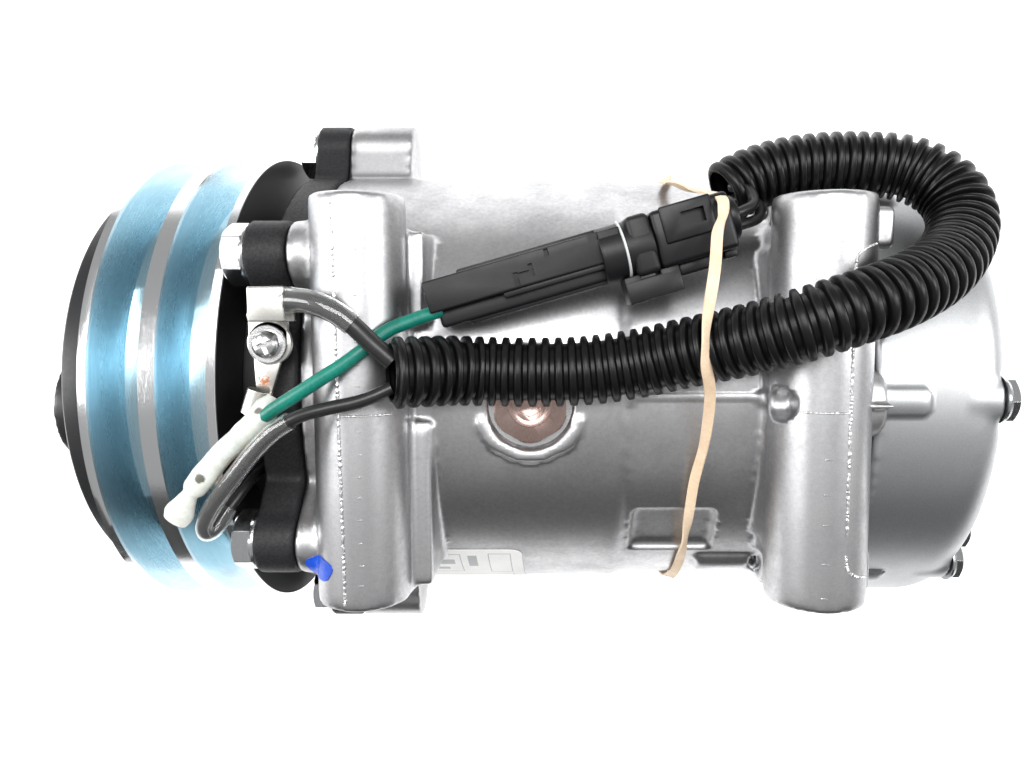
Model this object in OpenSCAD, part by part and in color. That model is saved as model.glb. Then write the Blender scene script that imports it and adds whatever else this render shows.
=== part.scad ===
// Seven-cylinder wobble-plate compressor with an electromagnetic clutch and its wiring.
// X is the shaft axis: the clutch faces -X and the cylinder head +X. +Z is the oil plug's side.
// The origin is on the shaft axis, midway between the two belt grooves.

/* [Pulley] */
// Outside radius of the pulley
pulley_r = 66; // [60:0.5:70]
// Distance between the two belt grooves
groove_pitch = 16; // [15:0.5:17]
// Width of a belt groove at its mouth
groove_w = 12.1; // [11:0.1:13]
// Depth of a belt groove
groove_depth = 10.5; // [9:0.5:12]
// Air gap that the armature closes
air_gap = 0.5; // [0.3:0.1:0.8]

/* [Casting] */
// Outside radius of the crankcase
case_r = 60.6; // [60:0.2:62]
// Where the cylinder block ends, from the belt line
block_end = 168.6; // [168:0.2:170]
// Where the cylinder head ends, from the belt line
head_end = 204; // [198:1:210]
// Outside radius of the cylinder head
head_r = 64.6; // [64:0.2:67]

/* [Mounting bars] */
// Height of the mounting bolts over the shaft axis
bar_h = 63; // [62:0.5:66]
// Length of a mounting bar
bar_l = 96; // [86:1:100]
// Position of the front bars
front_bar_x = 49.7; // [48:0.1:52]
// Position of the rear bars
rear_bar_x = 158.2; // [156:0.2:158.4]
// Radius of the front bars
front_bar_r = 11; // [9:0.5:12]
// Radius of the rear bars
rear_bar_r = 12; // [10:0.5:12]
// Radius of the mounting bolt holes
mount_hole_r = 5.2; // [4.2:0.1:6]

/* [Mechanism] */
// Tilt of the wobble plate, in degrees
tilt = 24.4; // [20:0.2:25]
// Radius at which the rods meet the wobble plate
rod_ring_r = 39.8; // [39:0.1:41]
// Radius of a cylinder bore
bore_r = 14.65; // [13.5:0.05:14.8]
// Distance between a rod's two ball centres
rod_l = 58; // [56:0.5:58.5]

/* [Hidden] */

BOUND = 400;

// axial stations
groove_x = groove_pitch / 2;
land = 2.05;
pulley_front = -groove_x - groove_w / 2 - land;
pulley_rear = groove_x + groove_w / 2 + land + 0.3;
groove_floor_w = groove_w - 2 * groove_depth * tan(18);
groove_floor_r = pulley_r - groove_depth;
channel_r = 50.5;
bearing_x0 = -7;
bearing_x1 = 13;
ball_r = 3.2;
ball_ring = 22.5;
ball_rows = [-2, 8];
balls = 14;
nose_front = -9.5;
flange_x0 = 24;
case_x0 = 33.7;
cavity_x0 = 41;
cavity_r = 53;
cylinders_x0 = 118;
step_x = 112;
gasket_t = 0.3;
valve_x0 = block_end + gasket_t;
valve_x1 = valve_x0 + 2;
head_x0 = valve_x1 + gasket_t;

// bolt circles
housing_bolt_ring = 69;
housing_bolt_r = 4;
housing_bolt_end = min(50, front_bar_x - mount_hole_r - 0.7);
head_bolt_ring = 59.5;
head_bolt_r = 3;
head_bolt_gap = 0.4;
// half of the length that stays solid in the middle of the upper rear bar
solid_half = 10;

// mechanism
CYLINDERS = 7;
wobble_x = 80;
orbit = rod_ring_r * (1 - cos(tilt)) / 2;
cylinder_ring = rod_ring_r - orbit;
plate_r = 47;
plate_front = -9;
plate_rear = 2.5;
plate_ball_r = 6.3;
piston_ball_r = 6;
socket_gap = 0.3;
rod_r = 3.5;
crown = 13.6;
skirt = 9;
gear_teeth = 18;
gear_in = 11;
gear_out = 19;
cone_tilt = tilt / 2;
tooth_top = 1;
tooth_root = 1.4;

// clutch
armature_t = 5.2;
armature_r = 57.5;
armature_edge_h = 3.6;
armature_edge_w = 3.5;
armature_rear = pulley_front - air_gap;
armature_front = armature_rear - armature_t;
hub_rear = armature_front - 1.2;
hub_front = hub_rear - 2.8;
hub_nose = -32.3;
lobe_ring = 38;
lobe_r = 14.5;
lobe_at = 6;
rivet_at = -27;

// where the bracket's screw stands on the front housing
bracket_x = 28.8;
bracket_y = 13.6;

// wiring: route points in millimetres
loom_r = 7.75;
loom_route = [
    [60, 8, 78.6], [65.5, 8, 76.2], [72.5, 8, 72.6], [80, 7.6, 70.4], [90, 7.4, 70], [100, 7.6, 70],
    [108, 8.4, 70.2], [116, 9.8, 71], [124, 11.8, 73], [132, 13.8, 76.4], [140, 16, 80.4],
    [148, 18.6, 83.6], [157, 21.6, 84.2], [166, 24.4, 82], [174, 27.4, 78], [181, 31, 73.4],
    [187, 36, 67.6], [190.5, 42, 62.4], [190, 48.4, 58.2], [186, 53.2, 54.8], [179.5, 56.2, 52],
    [170.7, 57.2, 50.2], [161, 57.2, 49.2], [151.5, 56, 48.6], [143.4, 53.4, 48.8], [137.2, 50, 49.8]
];
bracket_lead_r = 2.3;
bracket_lead_route = [
    [60.4, 10.4, 78.2], [56, 14.4, 78.6], [52, 18.4, 79], [47.5, 21.6, 79.2], [42.5, 23.4, 78.4],
    [38, 23.7, 76.6], [34.4, 23.6, 75.4], [29, 23.4, 75.2]
];
coil_lead_r = 1.5;
coil_lead_route = [
    [60, 4.6, 77.6], [56, 2.8, 78.2], [51.7, 1.4, 78.4], [46, 0.2, 78.6], [40.2, -1.4, 78.6],
    [35.4, -4, 78], [31.6, -7, 77], [27.9, -10.7, 76], [24.4, -14.8, 75], [20.6, -19.2, 73.6],
    [17, -23.6, 71.8], [14.2, -28, 69.8], [13.9, -30.6, 67.8], [15.6, -29.4, 66], [17.9, -25, 63.8],
    [19.8, -21.4, 60], [20.3, -19.6, 54], [20.3, -19, 45.4]
];
signal_wire_r = 1.6;
signal_wire_route = [
    [69.5, 21.4, 68.4], [63.4, 19.2, 70.8], [58, 16.8, 73.2], [53.6, 13, 75.4], [49, 9.6, 75.9],
    [43, 5.8, 76], [37, 2, 75.4], [32.3, -0.9, 74.2], [28, -4, 73.2]
];
tail_r = 1.3;
tail_routes = [
    [[134.4, 42.6, 62.4], [138.6, 44.2, 62.2], [142.4, 46.6, 59.6], [142, 50.4, 55.6], [138.6, 51.6, 52]],
    [[134.8, 40.6, 59.6], [139.6, 41.6, 59.4], [144.4, 43.6, 57], [144.6, 47.4, 53.4], [139.4, 48.8, 49.8]]
];
sleeve_at = [[28.4, -3.6, 73.2], [20.6, -10.4, 73.4], [15.4, -17, 73.6], [12.4, -20.8, 73.6], [8.8, -26.4, 72.8]];
sleeve_r = [3.6, 3, 2.5, 1.7, 3];

// turns a profile of [radius, x] points about the shaft axis
module lathe(profile, facets = 96) {
    rotate([0, 90, 0]) rotate_extrude($fn = facets) polygon(profile);
}

module tube(x0, x1, r_out, r_in = 0, facets = 96) {
    lathe([[r_in, x0], [r_out, x0], [r_out, x1], [r_in, x1]], facets);
}

// a cylinder along X whose axis passes through [y, z]
module rod_x(x0, x1, r, y = 0, z = 0, facets = 48) {
    translate([x0, y, z]) rotate([0, 90, 0]) cylinder(h = x1 - x0, r = r, $fn = facets);
}

module hex_x(x0, x1, across_flats) {
    translate([x0, 0, 0]) rotate([0, 90, 0]) cylinder(h = x1 - x0, r = across_flats / sqrt(3), $fn = 6);
}

module bar_y(x, z, r, length, facets = 64) {
    translate([x, length / 2, z]) rotate([90, 0, 0]) cylinder(h = length, r = r, $fn = facets);
}

// places children at an angle from +Z, positive towards -Y
module about_x(angle) {
    rotate([angle, 0, 0]) children();
}

// an ear in the plane across the shaft, reaching from r_root out to a bolt at ring
module ear(x0, x1, ring, end_r, r_root, half_root) {
    translate([x0, 0, 0]) rotate([0, 90, 0]) rotate([0, 0, 180]) linear_extrude(x1 - x0) {
        translate([ring, 0]) circle(r = end_r, $fn = 48);
        polygon([[ring, -end_r], [ring, end_r], [r_root, half_root], [r_root, -half_root]]);
    }
}

// sweeps a round section along a route; rings are turned to the route's direction
function unit(v) = v / norm(v);
function direction(route, i) =
    unit(route[min(i + 1, len(route) - 1)] - route[max(i - 1, 0)]);
function across(d) = unit(cross(d, abs(d.z) > 0.9 ? [0, 1, 0] : [0, 0, 1]));
function carried_across(route, i) =
    i == 0 ? across(direction(route, 0))
    : let (before = carried_across(route, i - 1), d = direction(route, i)) unit(before - (before * d) * d);

module sweep(route, radii, sides = 10) {
    last = len(route) - 1;
    points = [
        for (i = [0 : last])
            let (d = direction(route, i), u = carried_across(route, i), w = cross(d, u), r = radii[i])
            for (s = [0 : sides - 1]) route[i] + r * (cos(360 * s / sides) * u + sin(360 * s / sides) * w)
    ];
    sides_faces = [
        for (i = [0 : last - 1], s = [0 : sides - 1])
            let (a = i * sides, b = (i + 1) * sides, t = (s + 1) % sides) each [
                [a + s, a + t, b + s], [a + t, b + t, b + s]
            ]
    ];
    first_cap = [for (s = [1 : sides - 2]) [0, s + 1, s]];
    last_cap = [for (s = [1 : sides - 2]) [last * sides, last * sides + s, last * sides + s + 1]];
    polyhedron(points, concat(sides_faces, first_cap, last_cap));
}

module cord(route, r, sides = 10) {
    sweep(route, [for (p = route) r], sides);
}

// ---- casings ----

module front_housing() color("#1c1d20") difference() {
    union() {
        tube(flange_x0, case_x0, 61, 0);
        for (a = [30 : 60 : 330]) about_x(a) ear(flange_x0, case_x0, housing_bolt_ring, 8, 52, 15);
        // pilot that centres the housing in the crankcase
        tube(case_x0, cavity_x0 - 0.5, 57, 53.2);
        // nose that carries the pulley bearing
        tube(nose_front, 14, 17.5, 0);
        tube(14, flange_x0, 21, 0);
        // pad under the lead bracket
        translate([bracket_x, bracket_y, 52]) cylinder(h = 12, r = 4.6, $fn = 48);
    }
    translate([bracket_x, bracket_y, 55.8]) cylinder(h = 12, r = 2.3, $fn = 32);
    tube(nose_front - 1, 8, 13, 0);
    tube(8 - 1, case_x0 + 1, 13.5, 0);
    for (a = [30 : 60 : 330]) about_x(a)
        rod_x(flange_x0 - 1, case_x0 + 1, housing_bolt_r + 0.3, 0, housing_bolt_ring);
    // grooves for the O-ring and the bearing's snap ring
    tube(36, 38.1, 58, 55);
    tube(-8.9, -7.5, 18, 16.4);
}

module housing_bolts() color("#c9cbcc")
    for (a = [30 : 60 : 330]) about_x(a) translate([0, 0, housing_bolt_ring]) {
        hex_x(flange_x0 - 5.7, flange_x0 - 0.2, 13);
        rod_x(flange_x0 - 1.4, flange_x0, 7.2);
        rod_x(flange_x0 - 0.2, housing_bolt_end, housing_bolt_r);
    }

module housing_o_ring() color("#202020") translate([37, 0, 0]) rotate([0, 90, 0])
    rotate_extrude($fn = 96) translate([56, 0]) circle(r = 0.95, $fn = 24);

// one mounting bar with its web down to the casting
module mounting_bar(x, r, web_y) {
    bar_y(x, bar_h, r, bar_l);
    translate([x - r * 0.8, -web_y, 20]) cube([r * 1.6, 2 * web_y, bar_h - 24]);
    translate([x - r, -web_y + 6, 30]) cube([2 * r, 2 * web_y - 12, bar_h - 32]);
}

module cylinder_block() color("#b9bbbd") difference() {
    union() {
        tube(case_x0, step_x, case_r, 0);
        tube(step_x, block_end, case_r - 1, 0);
        tube(block_end - 6, block_end, case_r + 0.8, 0);
        for (a = [30 : 60 : 330]) about_x(a) ear(case_x0, 52.7, housing_bolt_ring, 8, 58.5, 11);
        for (side = [0, 180]) about_x(side) {
            mounting_bar(front_bar_x, front_bar_r, 41);
            mounting_bar(rear_bar_x, rear_bar_r, 42);
            // pads between the front bar and the crankcase
            translate([front_bar_x, -46, 34]) cube([16, 40, 27.6]);
            translate([front_bar_x, 18, 40]) cube([15, 22, 21]);
        }
        // bosses of the head bolts
        for (k = [0 : CYLINDERS - 1]) about_x(k * 360 / CYLINDERS)
            rod_x(block_end - 18, block_end, 7, 0, head_bolt_ring);
        // swelling around the oil plug
        translate([89.5, -1.4, 50]) cylinder(h = 11, r = 14, $fn = 64);
        // rib along the cylinders, and a boss low on their side
        translate([step_x - 2, -0.6, 50]) cube([40, 2, 10.2]);
        rod_x(134, 152, 7, -44, 33);
    }
    // shallow hollow between two cylinders
    about_x(38) translate([step_x + 3, -8.5, case_r - 3.4]) cube([22, 17, 10]);
    // crankcase, pilot bore and cylinders
    tube(cavity_x0, cylinders_x0, cavity_r, 0);
    tube(case_x0 - 1, cavity_x0 + 0.01, 57.1, 0);
    for (k = [0 : CYLINDERS - 1]) about_x(cylinder_angle(k))
        rod_x(cylinders_x0 - 1, block_end + 1, bore_r, 0, cylinder_ring, 96);
    tube(96, 136, 7, 0);
    // room for the head's rim
    tube(block_end, block_end + 8, 90, 0);
    // bores for the mounting bolts
    for (side = [0, 180]) about_x(side) bar_y(front_bar_x, bar_h, mount_hole_r, bar_l + 2);
    about_x(180) bar_y(rear_bar_x, bar_h, mount_hole_r, bar_l + 2);
    // the upper rear bar is drilled from both ends, short of the head bolt that crosses it
    for (side = [-1, 1]) translate([0, side * (bar_l / 2 + 1 + solid_half) / 2, 0])
        bar_y(rear_bar_x, bar_h, mount_hole_r, bar_l / 2 + 1 - solid_half);
    // core hole in the flank of that bar
    rod_x(rear_bar_x - 18, rear_bar_x - 7, 3.9, 0, 68);
    for (a = [30 : 60 : 330]) about_x(a)
        rod_x(case_x0 - 1, housing_bolt_end + 0.4, housing_bolt_r, 0, housing_bolt_ring);
    for (k = [0 : CYLINDERS - 1]) about_x(k * 360 / CYLINDERS)
        rod_x(block_end - 20, block_end + 1, head_bolt_r, 0, head_bolt_ring);
    // oil plug: thread and recess
    translate([89.5, -1.4, 40]) cylinder(h = 30, r = 6, $fn = 48);
    translate([89.5, -1.4, 57.6]) cylinder(h = 10, r = 10.6, $fn = 64);
}

module cylinder_head() color("#b4b6b8") difference() {
    union() {
        lathe([
            [0, head_x0], [head_r, head_x0], [head_r, head_end - 9],
            for (a = [0 : 15 : 90]) [head_r - 7 + 7 * cos(a), head_end - 9 + 9 * sin(a)],
            [0, head_end]
        ]);
        for (k = [0 : CYLINDERS - 1]) about_x(k * 360 / CYLINDERS) {
            rod_x(head_x0, head_x0 + 12, 6.6, 0, head_bolt_ring);
            rod_x(head_end - 14, head_end - 2, 7, 0, head_bolt_ring - 1.6);
        }
    }
    // suction chamber around the discharge chamber
    tube(head_x0 - 1, head_end - 9, 52.4, 37);
    tube(head_x0 - 1, head_end - 9, 33, 0);
    // suction and discharge ports
    rod_x(head_end - 12, head_end + 1, 7.5, 33, -30.2, 64);
    rod_x(head_end - 12, head_end + 1, 6.5, -12, -10, 64);
    for (k = [0 : CYLINDERS - 1]) about_x(k * 360 / CYLINDERS) {
        rod_x(head_x0 - 1, head_end + 1, head_bolt_r + head_bolt_gap, 0, head_bolt_ring);
        rod_x(head_end - 2, head_end + 1, 7.2, 0, head_bolt_ring);
    }
    rod_x(head_end - 12, head_end + 1, 3, -38, 38);
}

module head_bolts() color("#c4c6c8") {
    for (k = [0 : CYLINDERS - 1]) about_x(k * 360 / CYLINDERS) translate([0, 0, head_bolt_ring]) {
        hex_x(head_end - 1.6, head_end + 3.6, 10);
        rod_x(head_end - 1.9, head_end - 0.6, 6);
        rod_x(block_end - 19, head_end - 1.6, head_bolt_r);
    }
    // plug of the high-pressure relief port
    rod_x(head_end - 8, head_end + 4, 3, -38, 38);
    translate([0, -38, 38]) hex_x(head_end + 0.1, head_end + 3, 9);
}

module valve_plate() color("#8f9498") difference() {
    tube(valve_x0, valve_x1, 63.6, 0);
    for (k = [0 : CYLINDERS - 1]) {
        about_x(k * 360 / CYLINDERS) rod_x(valve_x0 - 1, valve_x1 + 1, head_bolt_r + 0.3, 0, head_bolt_ring);
        about_x(cylinder_angle(k)) {
            rod_x(valve_x0 - 1, valve_x1 + 1, 3.4, 0, 45);
            rod_x(valve_x0 - 1, valve_x1 + 1, 2.6, 0, 29);
        }
    }
}

module gasket_ring(x, r_out, r_in) {
    tube(x, x + gasket_t, r_out, r_in);
}

module valve_gaskets() color("#37393b") difference() {
    union() {
        gasket_ring(block_end, 62.4, 53);
        gasket_ring(valve_x1, 62.4, 52.6);
        gasket_ring(valve_x1, 36.6, 33.4);
    }
    for (k = [0 : CYLINDERS - 1]) about_x(k * 360 / CYLINDERS)
        rod_x(block_end - 1, head_x0 + 1, head_bolt_r + 0.3, 0, head_bolt_ring);
}

// spring tongues over the ports: discharge on the head's side, suction on the cylinders' side
module reed_valves() color("#aab4bc") {
    for (k = [0 : CYLINDERS - 1]) about_x(cylinder_angle(k)) {
        rod_x(valve_x1 + 0.02, valve_x1 + 0.3, 4.2, 0, 28);
        translate([valve_x1 + 0.02, -1.6, 10]) cube([0.28, 3.2, 18]);
        translate([valve_x0 - 0.25, 0, 0]) {
            rod_x(0, 0.23, 4.6, 0, 45);
            translate([0, -2, 26]) cube([0.23, 4, 19]);
        }
    }
    tube(valve_x1 + 0.02, valve_x1 + 0.3, 12, 4);
}

module oil_plug() color("#b98f7c") {
    translate([89.5, -1.4, 50]) cylinder(h = 7.7, r = 6, $fn = 48);
    translate([89.5, -1.4, 57.7]) cylinder(h = 1.6, r = 9.4, $fn = 64);
    translate([89.5, -1.4, 59.2]) cylinder(h = 1.9, r = 8.4, $fn = 6);
}

module label() color("#f4f4f2") rotate([84, 0, 0]) rotate([0, 90, 0]) translate([0, 0, 55])
    rotate([0, 0, 180]) rotate_extrude(angle = 40, $fn = 128) translate([case_r + 0.05, 0]) square([0.25, 32]);

// ---- clutch ----

// the pulley's web, hub and drum, down to the floor of its grooves
module pulley() color("#8fb0c4") difference() {
    lathe([
        [27.5, bearing_x0 - 1], [33.5, pulley_front + 3], [38, pulley_front], [groove_floor_r, pulley_front],
        [groove_floor_r, pulley_rear], [channel_r, pulley_rear],
        [channel_r, pulley_front + 4.5], [33.5, pulley_front + 4.5], [33.5, bearing_x1 + 2],
        [27.5, bearing_x1 + 2]
    ]);
    // slots that steer the magnetic field through the friction face
    for (a = [0 : 60 : 300]) about_x(a) rotate([0, 90, 0]) translate([0, 0, pulley_front - 1])
        rotate_extrude(angle = 44, $fn = 96) translate([41, 0]) square([2.4, 7]);
}

// the three walls beside the belts, shrunk onto the drum
module pulley_rims() color("#8fb0c4") {
    rim(pulley_front, pulley_front, -groove_x - groove_w / 2, -groove_x - groove_floor_w / 2);
    rim(-groove_x + groove_floor_w / 2, -groove_x + groove_w / 2, groove_x - groove_w / 2,
        groove_x - groove_floor_w / 2);
    rim(groove_x + groove_floor_w / 2, groove_x + groove_w / 2, pulley_rear, pulley_rear);
}

module rim(foot0, top0, top1, foot1) {
    lathe([[groove_floor_r, foot0], [pulley_r, top0], [pulley_r, top1], [groove_floor_r, foot1]]);
}

module race(r_out, r_in) {
    difference() {
        tube(bearing_x0, bearing_x1, r_out, r_in);
        for (x = ball_rows) translate([x, 0, 0]) rotate([0, 90, 0])
            rotate_extrude($fn = 96) translate([ball_ring, 0]) circle(r = ball_r + 0.35, $fn = 32);
    }
}

module bearing_outer_race() color("#c2c6c9") race(27.5, 24);

module bearing_inner_race() color("#c2c6c9") race(21, 17.5);

module bearing_balls() color("#d7dadc") {
    for (x = ball_rows, k = [0 : balls - 1]) about_x(k * 360 / balls)
        translate([x, 0, ball_ring]) sphere(r = ball_r, $fn = 32);
    // cage between and around the rows of balls
    for (x = ball_rows) difference() {
        tube(x - 1.2, x + 1.2, ball_ring + 0.8, ball_ring - 0.8);
        for (k = [0 : balls - 1]) about_x(k * 360 / balls) rod_x(x - 2, x + 2, ball_r - 0.2, 0, ball_ring);
    }
}

module coil_shell() color("#2b2d30") difference() {
    union() {
        tube(pulley_front + 7, flange_x0 - 3, 49.6, 46.8);
        tube(pulley_front + 7, flange_x0 - 3, 37.4, 34.6);
        tube(flange_x0 - 3, flange_x0 - 0.02, 49.6, 21.1);
    }
    for (a = [45 : 90 : 315]) about_x(a) rod_x(flange_x0 - 4, flange_x0 + 1, 2.2, 0, 29);
}

module coil_winding() color("#7a4a2c") tube(pulley_front + 7.6, flange_x0 - 3.2, 46.6, 37.6);

module armature_plate() color("#18191b") difference() {
    union() {
        tube(armature_front, armature_rear, armature_r, 30);
        // turned-up edge
        tube(armature_front - armature_edge_h, armature_front + 1, armature_r, armature_r - armature_edge_w);
    }
    for (k = [0 : 2]) about_x(rivet_at + 120 * k) rod_x(armature_front - 1, armature_rear + 1, 3, 0, 49);
    for (a = [10 : 60 : 310]) about_x(a) rotate([0, 90, 0]) translate([0, 0, armature_front - 1])
        rotate_extrude(angle = 40, $fn = 96) translate([44.4, 0]) square([2.2, 9]);
}

module clutch_hub() color("#1b1c1e") difference() {
    union() {
        tube(hub_front - 0.5, hub_rear - 0.4, 22, 0);
        tube(hub_nose + 4, nose_front - 1.2, 13.6, 0);
        for (k = [0 : 2]) about_x(lobe_at + 120 * k) {
            rod_x(hub_nose + 1.6, hub_rear, lobe_r, 0, lobe_ring, 64);
            ear(hub_front, hub_rear - 0.2, lobe_ring, 10.4, 9, 15);
        }
    }
    tube(hub_nose, 0, 8, 0);
    tube(hub_nose, hub_front - 1, 10.6, 0);
    for (k = [0 : 2]) about_x(lobe_at + 120 * k) {
        rod_x(hub_nose + 3.4, hub_rear + 1, 12.6, 0, lobe_ring, 64);
        rod_x(hub_nose, hub_rear + 1, 9, 0, lobe_ring, 64);
    }
}

module hub_dampers() color("#0f0f10")
    for (k = [0 : 2]) about_x(lobe_at + 120 * k) difference() {
        union() {
            rod_x(hub_nose + 3.5, hub_rear - 0.1, 12.5, 0, lobe_ring, 64);
            rod_x(hub_nose, hub_nose + 3.6, 8.9, 0, lobe_ring, 64);
        }
        rod_x(hub_nose - 1, hub_rear + 1, 4, 0, lobe_ring, 48);
    }

module armature_rivets() color("#d2d4d5")
    for (k = [0 : 2]) {
        about_x(rivet_at + 120 * k) {
            rod_x(armature_front, armature_rear - 0.4, 3, 0, 49);
            rod_x(armature_front - 3.4, armature_front, 4.6, 0, 49);
        }
        // driving pins that run in the dampers
        about_x(lobe_at + 120 * k) rod_x(hub_nose + 2, armature_front, 3.4, 0, lobe_ring);
    }

module shaft_nut() color("#c9cbcc") difference() {
    hex_x(hub_front - 5.6, hub_front - 1.02, 17);
    rod_x(hub_front - 10, hub_front + 10, 6);
}

module drive_shaft() color("#aeb4b8") lathe([
    [0, -32.2], [5.2, -32.2], [6, -31.4], [6, -19], [8, -19], [8, 6], [10, 6.4], [10, 48], [0, 48]
]);

module shaft_bearing() color("#b9bdc0") difference() {
    tube(12, 30, 13.5, 10.05);
    tube(13.6, 28.4, 12.4, 10.05);
}

module shaft_seal() color("#16181a") lathe([
    [8.2, -6], [13, -6], [13, 2], [11.6, 2], [11.6, -4.6], [10.2, -4.6], [8.4, 0], [8.06, 0], [8.06, -2]
]);

module snap_rings() color("#9da3a7") {
    difference() {
        tube(-8.7, -7.7, 20, 16.4);
        translate([-9, -2, 10]) cube([2, 4, 12]);
    }
}

// ---- mechanism ----

function cylinder_angle(k) = (k + 0.5) * 360 / CYLINDERS;

// the frame that stands square to the wobble plate, with its origin at the plate's centre
module on_plate() {
    translate([wobble_x, 0, 0]) rotate([0, tilt, 0]) children();
}

module front_thrust_bearing() color("#b9bdc0") tube(34, 36.9, 32, 15);

module cam_rotor() color("#8d9296") difference() {
    intersection() {
        tube(37.2, 110, 40, 0);
        on_plate() translate([-BOUND + plate_front - 3.4, -BOUND / 2, -BOUND / 2]) cube([BOUND, BOUND, BOUND]);
    }
    tube(30, 48, 10, 0);
    // pockets that lighten the thick side
    for (a = [-34, 0, 34]) about_x(a) rod_x(30, 37.2 + 24, 7.4, 0, 25);
}

module rotor_thrust_bearing() color("#b9bdc0")
    on_plate() tube(plate_front - 3.1, plate_front - 0.3, 34, 18);

module wobble_plate() color("#9a9fa3") difference() {
    on_plate() difference() {
        tube(plate_front, plate_rear, plate_r, 0);
        tube(-7.5, plate_rear + 1, 24, 0);
    }
    for (k = [0 : CYLINDERS - 1]) on_plate() about_x(cylinder_angle(k)) translate([0, 0, rod_ring_r])
        open_socket(plate_ball_r + socket_gap, plate_rear + 1);
}

// a spherical socket about the origin whose mouth faces +X
module open_socket(r, mouth_x) {
    rotate([0, 90, 0]) rotate_extrude($fn = 64) intersection() {
        circle(r = r, $fn = 64);
        translate([0, -r - 1]) square([r + 1, r + 1 + mouth_x]);
    }
}

// radial teeth of a bevel gear whose pitch cone has its apex at the pivot
module bevel_teeth(shift) {
    for (k = [0 : gear_teeth - 1]) rotate([shift + k * 360 / gear_teeth, 0, 0]) rotate([0, -cone_tilt, 0])
        translate([0, 0, gear_in]) linear_extrude(gear_out - gear_in)
            polygon([[-tooth_root - 0.4, -1.3], [-tooth_root, -1.2], [tooth_top, -0.4],
                     [tooth_top, 0.4], [-tooth_root, 1.2], [-tooth_root - 0.4, 1.3]]);
}

module bevel_gear(shift, back, back_r, stem_r, stem_end) {
    difference() {
        union() {
            lathe([
                [0, -3.6], [gear_in - 1, -3.6], [gear_in - 0.6, -gear_in * tan(cone_tilt) - tooth_root],
                [gear_out, -gear_out * tan(cone_tilt) - tooth_root], [back_r, back], [0, back]
            ]);
            bevel_teeth(shift);
            if (stem_end < back) tube(stem_end, back, stem_r, 0);
        }
        sphere(r = 6.8, $fn = 64);
    }
}

module planet_gear() color("#a7a08c") on_plate() bevel_gear(180 / gear_teeth, -7.5, 23.9, 0, 0);

module fixed_gear() color("#a7a08c") translate([wobble_x, 0, 0]) mirror([1, 0, 0])
    bevel_gear(0, -12, 16, 7, -54);

module pivot_ball() color("#c5c8ca") translate([wobble_x, 0, 0]) sphere(r = 6.5, $fn = 64);

// where rod k meets the wobble plate
function rod_at(k) =
    let (y = -rod_ring_r * sin(cylinder_angle(k)), z = rod_ring_r * cos(cylinder_angle(k)))
    [wobble_x + z * sin(tilt), y, z * cos(tilt)];
function piston_at(k) =
    [rod_at(k).x + rod_l, -cylinder_ring * sin(cylinder_angle(k)), cylinder_ring * cos(cylinder_angle(k))];

// a round bar with a ball at each end, turned about its own axis
module rod(k) color("#b3b7ba") translate(rod_at(k)) rotate([0, 90, 0]) rotate_extrude($fn = 48)
    intersection() {
        union() {
            circle(r = plate_ball_r, $fn = 48);
            translate([0, rod_l]) circle(r = piston_ball_r, $fn = 48);
            square([rod_r, rod_l]);
        }
        translate([0, -BOUND / 2]) square([BOUND, BOUND]);
    }

module piston(k) color("#c3c6c8") difference() {
    translate([piston_at(k).x, piston_at(k).y, piston_at(k).z]) difference() {
        tube(-skirt, crown, bore_r - 0.03, 0);
        // ring groove
        tube(crown - 4.4, crown - 2.4, bore_r + 1, bore_r - 0.8);
    }
    translate(rod_at(k)) {
        translate([rod_l, 0, 0]) sphere(r = piston_ball_r + socket_gap, $fn = 48);
        rod_x(rod_l - skirt - 1, rod_l, rod_r + 0.9, 0, 0, 32);
        rod_x(rod_l - skirt - 1, rod_l - 5.6, 9.4, 0, 0, 48);
    }
}

// ---- wiring ----

module lead_bracket() color("#c9c7c2") translate([bracket_x, bracket_y, 64]) {
    difference() {
        union() {
            // plate under the screw, narrowing towards the crimp
            translate([-4.8, -5, 0]) cube([9.6, 12.4, 1.4]);
            linear_extrude(1.4) polygon([[-4.8, -5], [4.8, -5], [3, -12], [-3.4, -12]]);
        }
        translate([0, 0, -1]) cylinder(h = 4, r = 2.4, $fn = 32);
    }
    // neck up to the box that grips the lead
    translate([-2.8, 6, 0]) cube([6.6, 1.4, 8.2]);
    translate([-3.4, 6, 6.8]) cube([9.2, 7.6, 1.4]);
    translate([-3.4, 6, 13.6]) cube([9.2, 7.6, 1.4]);
    translate([-3.4, 6, 6.8]) cube([1.4, 7.6, 8.2]);
    translate([4.4, 6, 6.8]) cube([1.4, 7.6, 2.4]);
    // crimp barrel
    translate([-0.4, -11, 2.9]) rotate([90, 0, 8]) cylinder(h = 5.4, r = 2.9, $fn = 32);
}

module bracket_screw() color("#d6d7d7") translate([bracket_x, bracket_y, 65.4]) {
    translate([0, 0, -9]) cylinder(h = 9.1, r = 2.25, $fn = 32);
    cylinder(h = 1.2, r = 4.4, $fn = 48);
    difference() {
        translate([0, 0, 1.2]) cylinder(h = 2.6, r = 3.3, $fn = 48);
        translate([-2.4, -0.5, 2.6]) cube([4.8, 1, 2]);
        translate([-0.5, -2.4, 2.6]) cube([1, 4.8, 2]);
    }
}

module loom() color("#161617") cord(loom_route, loom_r, 12);

module bracket_lead() color("#1a1a1b") cord(bracket_lead_route, bracket_lead_r, 8);

module coil_lead() color("#1a1a1b") cord(coil_lead_route, coil_lead_r, 8);

module signal_wire() color("#0e7a63") cord(signal_wire_route, signal_wire_r, 8);

module splice_sleeve() color("#e4e5e1") sweep(sleeve_at, sleeve_r, 10);

module connector_tails() color("#1a1a1b") for (route = tail_routes) cord(route, tail_r, 8);

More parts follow.
